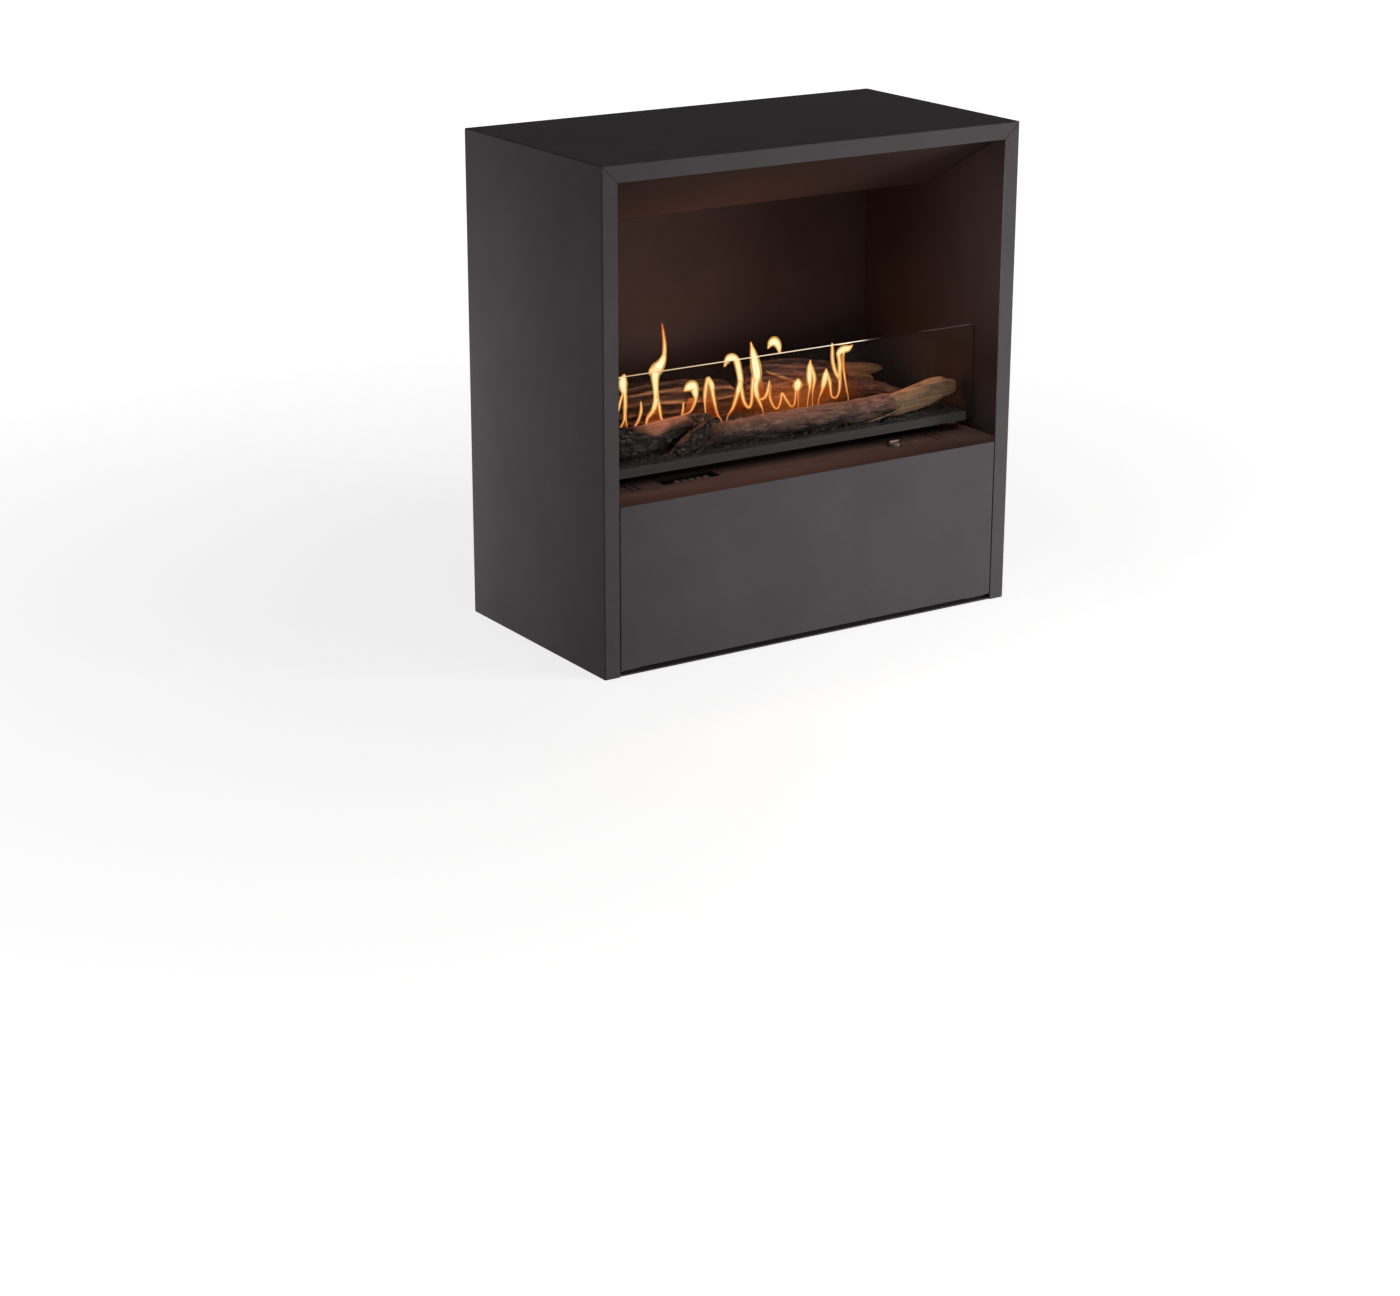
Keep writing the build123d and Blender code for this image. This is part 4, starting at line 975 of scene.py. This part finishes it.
# Thin sheets of fainter flame, each between a left and a right edge of (x, z) points.
VEILS = (
    (((-194, 304), (-195, 290), (-200, 276)), ((-192, 304), (-190, 290), (-188, 276))),
    (
        ((-144, 318), (-145, 303), (-156, 290), (-159, 275)),
        ((-142, 318), (-139, 303), (-137, 288), (-134, 275)),
    ),
    (((-92, 306), (-97, 294), (-104, 281)), ((-81, 306), (-84, 296), (-92, 284))),
    (
        ((-66, 322), (-67, 305), (-64, 284), (-62, 274)),
        ((-60, 324), (-55, 307), (-50, 291), (-44, 276)),
    ),
    (((-12, 318), (-18, 298), (-30, 272)), ((-8, 318), (-6, 301), (-2, 280))),
    (((14, 318), (15, 300), (22, 276)), ((26, 316), (31, 298), (34, 282))),
    (((38, 306), (39, 292), (43, 278)), ((42, 306), (44, 292), (50, 276))),
    (((84, 294), (82, 284), (83, 268)), ((88, 294), (91, 284), (92, 268))),
    (((104, 320), (105, 302), (103, 272)), ((108, 320), (112, 306), (113, 272))),
    (((129, 306), (126, 290), (121, 272)), ((134, 308), (138, 297), (141, 280))),
    (((157, 332), (160, 312), (164, 286)), ((163, 334), (166, 312), (171, 276))),
)
# Sheet of painted firelight glow behind the tongues: its middle and half reach in x and z, in
# metres, and how far it stands behind the flames.
PAINTED_GLOW_MIDDLE = (0.095, 0.276)
PAINTED_GLOW_REACH = (0.128, 0.042)
PAINTED_GLOW_BEHIND = 0.014
SHEET_HALF_DEPTH = 0.0009
VEIL_HEAT = 0.85
TONGUE_SIDES, VEIL_SIDES, PAINTED_GLOW_SIDES = 14, 16, 32
# Shares of a stroke's radius that a skin takes where the stroke is broad, and where slim.
CORE_SHARES = (0.66, 0.4)
SHELL_SHARES = (1.12, 1.05)
BROAD_FROM = 0.0034
# A stroke that ends below FOOT_REACH runs on down to the collar, tapering.
FOOT_REACH = 0.285
FOOT_RADIUS = 0.0007
THINNEST = 0.0004
FLATNESS = 0.75
SWAY = 0.002
# Heat rises over FOOT_FADE above the collar and falls over HEAD_FADE up to HEAD_TOP.
SLIM_HEAT = 0.42
FOOT_FADE = 0.045
HEAD_FADE = 0.035
HEAD_TOP = 0.412
# Rings that round off an end: shares of the radius across, and outwards along the stroke.
ROUND_TIP = ((0.15, 0.9), (0.6, 0.65), (0.9, 0.3))


def turns(count):
    """Cosine and sine of each of count even steps round a circle."""
    angles = [math.tau * k / count for k in range(count)]
    return [(math.cos(a), math.sin(a)) for a in angles]


def stroke_rings(stroke, shares):
    """Rings of one tapering stroke, its ends rounded off, and the heat of each ring."""
    points = [(x / 1000, z / 1000, r / 1000) for x, z, r in stroke]
    if points[-1][1] < FOOT_REACH:
        points.append((points[-1][0], COLLAR_TOP, FOOT_RADIUS))
    steps = 5 * (len(points) - 1)
    path = [spline(points, (len(points) - 1) * n / steps) for n in range(steps + 1)]
    rings, heats = [], []
    for n, (x, z, r) in enumerate(path):
        ahead, behind = path[min(n + 1, steps)], path[max(n - 1, 0)]
        run = Vector((ahead[0] - behind[0], 0, ahead[1] - behind[1])).normalized()
        side = Vector((-run.z, 0, run.x))
        radius = max(THINNEST, r * shares[0 if r > BROAD_FROM else 1])
        heat = clamp(SLIM_HEAT + radius / 0.008) * clamp((z - COLLAR_TOP) / FOOT_FADE, 0.02)
        heat *= clamp((HEAD_TOP - z) / HEAD_FADE, 0.05)
        layers = [(1.0, 0.0)]
        if n == 0:
            layers = [(wide, -out) for wide, out in ROUND_TIP] + layers
        if n == steps:
            layers += reversed(ROUND_TIP)
        place = Vector((x, FLAME_Y + SWAY * math.sin(z * 60 + x * 40), z))
        for wide, out in layers:
            centre = place + run * out * radius
            ring = []
            for cosine, sine in turns(TONGUE_SIDES):
                across = side * cosine + Vector((0, FLATNESS * sine, 0))
                ring.append(centre + across * radius * wide)
            rings.append(ring)
            heats.append(heat)
    return rings, heats


def veil_rings(left, right):
    """A lens-shaped sheet between two edges and the heat of each of its rings."""
    steps = 10
    rings, heats = [], []
    for n in range(steps + 1):
        xl, zl = spline(left, (len(left) - 1) * n / steps)
        xr, zr = spline(right, (len(right) - 1) * n / steps)
        # Half the sum and half the difference, from millimetres to metres.
        centre = Vector((xl + xr, 0, zl + zr)) / 2000 + Vector((0, FLAME_Y, 0))
        reach = Vector((xr - xl, 0, zr - zl)) / 2000
        ring = []
        for cosine, sine in turns(VEIL_SIDES):
            ring.append(centre + reach * cosine + Vector((0, SHEET_HALF_DEPTH * sine, 0)))
        rings.append(ring)
        heats.append(VEIL_HEAT * (1 - n / steps) ** 1.4)
    return rings, heats


def painted_glow_rings():
    """A thin lens-shaped sheet standing behind the tongues, and no heat of its own."""
    steps = 24
    rings = []
    for n in range(steps + 1):
        u = -math.cos(math.pi * (n + 0.25) / (steps + 0.5))
        x = PAINTED_GLOW_MIDDLE[0] + PAINTED_GLOW_REACH[0] * u
        tall = PAINTED_GLOW_REACH[1] * math.sqrt(1 - u * u)
        ring = []
        for cosine, sine in turns(PAINTED_GLOW_SIDES):
            y = FLAME_Y + PAINTED_GLOW_BEHIND + SHEET_HALF_DEPTH * cosine
            ring.append(Vector((x, y, max(PAINTED_GLOW_MIDDLE[1] + tall * sine, GRAVEL_TOP))))
        rings.append(ring)
    return rings, [0.0] * len(rings)


def add_flame(name, parts, material):
    """One piece of fire from many (rings, heats) pairs, without shadow or bounce."""
    verts, faces, glow = [], [], []
    for rings, heats in parts:
        add_skin(verts, faces, *skin(rings))
        glow += [heat for ring, heat in zip(rings, heats) for _ in ring]
        glow += [heats[0], heats[-1]]
    flame = mesh_object(name, verts, faces, material, glow=glow)
    flame.visible_shadow = False
    flame.visible_diffuse = False
    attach(flame, "chassis")


def make_flames():
    """A bright core inside a see-through shell for every tongue, veils and a sheet of painted
    firelight glow.
    """
    core, shell = flame_core(), flame_shell()
    for number, tongue in enumerate(TONGUES, start=1):
        inner = [stroke_rings(stroke, CORE_SHARES) for stroke in tongue]
        outer = [stroke_rings(stroke, SHELL_SHARES) for stroke in tongue]
        add_flame(f"flame_{number}_core", inner, core)
        add_flame(f"flame_{number}_shell", outer, shell)
    add_flame("flame_veils", [veil_rings(*edges) for edges in VEILS], flame_veil())
    add_flame("flame_haze_painted_glow", [painted_glow_rings()], flame_haze_painted_glow(PAINTED_GLOW_MIDDLE, PAINTED_GLOW_REACH))


# -------- studio
DAYLIGHT = (1.0, 0.99, 0.98)
FIRE = (1.0, 0.62, 0.5)
EMBER = (1.0, 0.4, 0.13)
FLOOR_HALF = 9.0
FLOOR_GREY = (0.82, 0.82, 0.82, 1)


def add_lamp(name, kind, place, energy, colour):
    """A lamp that isn't seen itself."""
    data = bpy.data.lights.new(name, kind)
    data.energy = energy
    data.color = colour
    obj = bpy.data.objects.new(name, data)
    bpy.context.scene.collection.objects.link(obj)
    obj.location = place
    obj.visible_camera = False
    obj.visible_transmission = False
    return obj


def bulb(name, place, energy, colour, size):
    """A small round lamp that shines all ways."""
    obj = add_lamp(name, "POINT", place, energy, colour)
    obj.data.shadow_soft_size = size
    obj.visible_glossy = False


def panel(name, place, target, energy, colour, size, height=None, spread=None):
    """A flat lamp aimed at a target: a disk, or with a height a strip; spread in degrees."""
    obj = add_lamp(name, "AREA", place, energy, colour)
    obj.data.shape = "RECTANGLE" if height else "DISK"
    obj.data.size = size
    obj.data.size_y = height or size
    if spread:
        obj.data.spread = math.radians(spread)
    obj.rotation_mode = "QUATERNION"
    obj.rotation_quaternion = (Vector(target) - Vector(place)).to_track_quat("-Z", "Y")
    obj.visible_glossy = not height
    return obj


def seen_directly(tree):
    """1 for rays that look at a backdrop straight, in a mirror or through glass."""
    path = tree.nodes.new("ShaderNodeLightPath").outputs
    first = combine(tree, "MAXIMUM", path["Is Camera Ray"], path["Is Glossy Ray"])
    return combine(tree, "MAXIMUM", first, path["Is Transmission Ray"])


def make_floor():
    """Pale floor that keeps a soft shadow and is white where nothing shades it."""
    corners = [(x * FLOOR_HALF, y * FLOOR_HALF, 0) for x, y in ((-1, -1), (1, -1), (1, 1), (-1, 1))]
    mesh = bpy.data.meshes.new("studio_floor")
    mesh.from_pydata(corners, [], [(0, 1, 2, 3)])
    floor = bpy.data.objects.new("studio_floor", mesh)
    bpy.context.scene.collection.objects.link(floor)
    material = bpy.data.materials.new("studio_floor")
    material.use_nodes = True
    tree = material.node_tree
    tree.nodes.clear()
    reach = tree.nodes.new("ShaderNodeVectorMath")
    reach.operation = "LENGTH"
    feed(tree, reach.inputs[0], tree.nodes.new("ShaderNodeTexCoord").outputs["Object"])
    # The glow rises with the distance from the middle, so that the far floor is white.
    ends = {"From_Min": 0.6, "From_Max": 2.4, "To_Min": 0.76, "To_Max": 1.0}
    rise = add_node(tree, "ShaderNodeMapRange", Value=reach.outputs["Value"], **ends)
    shown = combine(tree, "MULTIPLY", rise.outputs["Result"], seen_directly(tree))
    matt = add_node(tree, "ShaderNodeBsdfDiffuse", Color=FLOOR_GREY)
    glow = add_node(tree, "ShaderNodeEmission", Strength=shown)
    both = tree.nodes.new("ShaderNodeAddShader")
    feed(tree, both.inputs[0], matt.outputs[0])
    feed(tree, both.inputs[1], glow.outputs[0])
    add_node(tree, "ShaderNodeOutputMaterial", Surface=both.outputs[0])
    mesh.materials.append(material)
    return floor


def make_world():
    """Soft even sky that shows white and lights weakly."""
    world = bpy.data.worlds.new("studio")
    bpy.context.scene.world = world
    world.use_nodes = True
    tree = world.node_tree
    sky = tree.nodes["Background"].inputs
    sky["Color"].default_value = (1, 1, 1, 1)
    seen = seen_directly(tree)
    strength = add_node(tree, "ShaderNodeMapRange", Value=seen, To_Min=0.12, To_Max=1.0)
    feed(tree, sky["Strength"], strength.outputs["Result"])


def spare(light, thing):
    """Keep one light off one object."""
    spared = bpy.data.collections.new(f"{light.name}_spares")
    spared.objects.link(thing)
    light.light_linking.receiver_collection = spared
    spared.collection_objects[0].light_linking.link_state = "EXCLUDE"


def make_lamps(floor):
    """Studio lamps round the object, then small ones in and near the firebox."""
    panel("key", (1.35, -1.6, 0.1), (0.0, -0.17, 0.25), 36.0, DAYLIGHT, 0.8)
    fill = panel("fill", (-0.78, 0.64, 0.24), (-0.32, 0.12, 0.25), 5.8, (0.98, 0.98, 1.0), 0.3)
    spare(fill, floor)
    rear = panel("rear", (0.35, 1.7, 0.33), (0.0, 0.171, 0.33), 7.0, DAYLIGHT, 0.6)
    spare(rear, floor)
    panel("room", (-0.2, -2.7, 0.5), (0.0, -0.17, 0.3), 4.8, DAYLIGHT, 0.8)
    panel("low", (0.25, -1.1, 0.14), (0.1, -0.17, 0.05), 2.6, (1.0, 0.98, 0.98), 0.25)

    place, target = (0, -0.128, 0.256), (0, -0.1281, 0.0)
    panel("deck", place, target, 0.016, (1.0, 0.92, 0.9), 0.57, 0.024, spread=130)
    panel("sill", (0, -0.098, 0.2412), (0, -0.106, 0.2267), 0.011, (1.0, 0.9, 0.87), 0.58, 0.006)
    place, target = (0.05, -0.085, 0.45), (0.05, -0.035, 0.28)
    panel("crown", place, target, 0.6, (1.0, 0.62, 0.48), 0.46, 0.02, spread=52)
    place, target = (0.08, -0.168, 0.5), (0.3, -0.15, 0.49)
    panel("wall", place, target, 0.2, (0.9, 0.95, 1.0), 0.03, 0.24, spread=84)
    place, target = (0.225, -0.15, 0.29), (0.3, -0.13, 0.264)
    panel("corner", place, target, 0.009, (0.95, 0.97, 1.0), 0.03, spread=74)

    # Each fire has x, z and power, each ember x and power.
    fires = (-0.19, 0.41, 0.34), (-0.12, 0.43, 0.36), (0.0, 0.40, 0.34), (0.13, 0.39, 0.16)
    for x, z, energy in fires:
        bulb(f"fire_{round(1000 * x)}", (x, FLAME_Y, z), energy, FIRE, 0.03)
    panel("rising", (-0.06, -0.05, 0.46), (-0.06, -0.06, 1), 0.18, (1.0, 0.38, 0.16), 0.2, 0.1)
    embers = (-0.15, 0.08), (-0.07, 0.12), (0.0, 0.22), (0.06, 0.22), (0.12, 0.2), (0.17, 0.08)
    for x, energy in embers:
        bulb(f"ember_{round(1000 * x)}", (x, -0.030, 0.294), energy, EMBER, 0.012)
    for x in (0.02, 0.07, 0.12):
        bulb(f"ember_rear_{round(1000 * x)}", (x, 0.0, 0.282), 0.04, EMBER, 0.01)


def make_camera():
    data = bpy.data.cameras.new("camera")
    data.lens = CAMERA_LENS
    data.clip_start, data.clip_end = CAMERA_REACH
    camera = bpy.data.objects.new("camera", data)
    bpy.context.scene.collection.objects.link(camera)
    camera.location = CAMERA_PLACE
    camera.rotation_mode = "QUATERNION"
    aim = (CAMERA_TARGET - CAMERA_PLACE).to_track_quat("-Z", "Y")
    camera.rotation_quaternion = aim @ Quaternion((0, 0, 1), CAMERA_ROLL)
    bpy.context.scene.camera = camera


make_camera()
make_world()
make_lamps(make_floor())
paint_nodes()
paint_pane_edge_glow()
make_gravel()
make_left_log()
make_forked_branch()
make_front_log()
make_rear_left_log()
make_rear_right_log()
make_flames()
bpy.context.scene.view_settings.view_transform = "Standard"
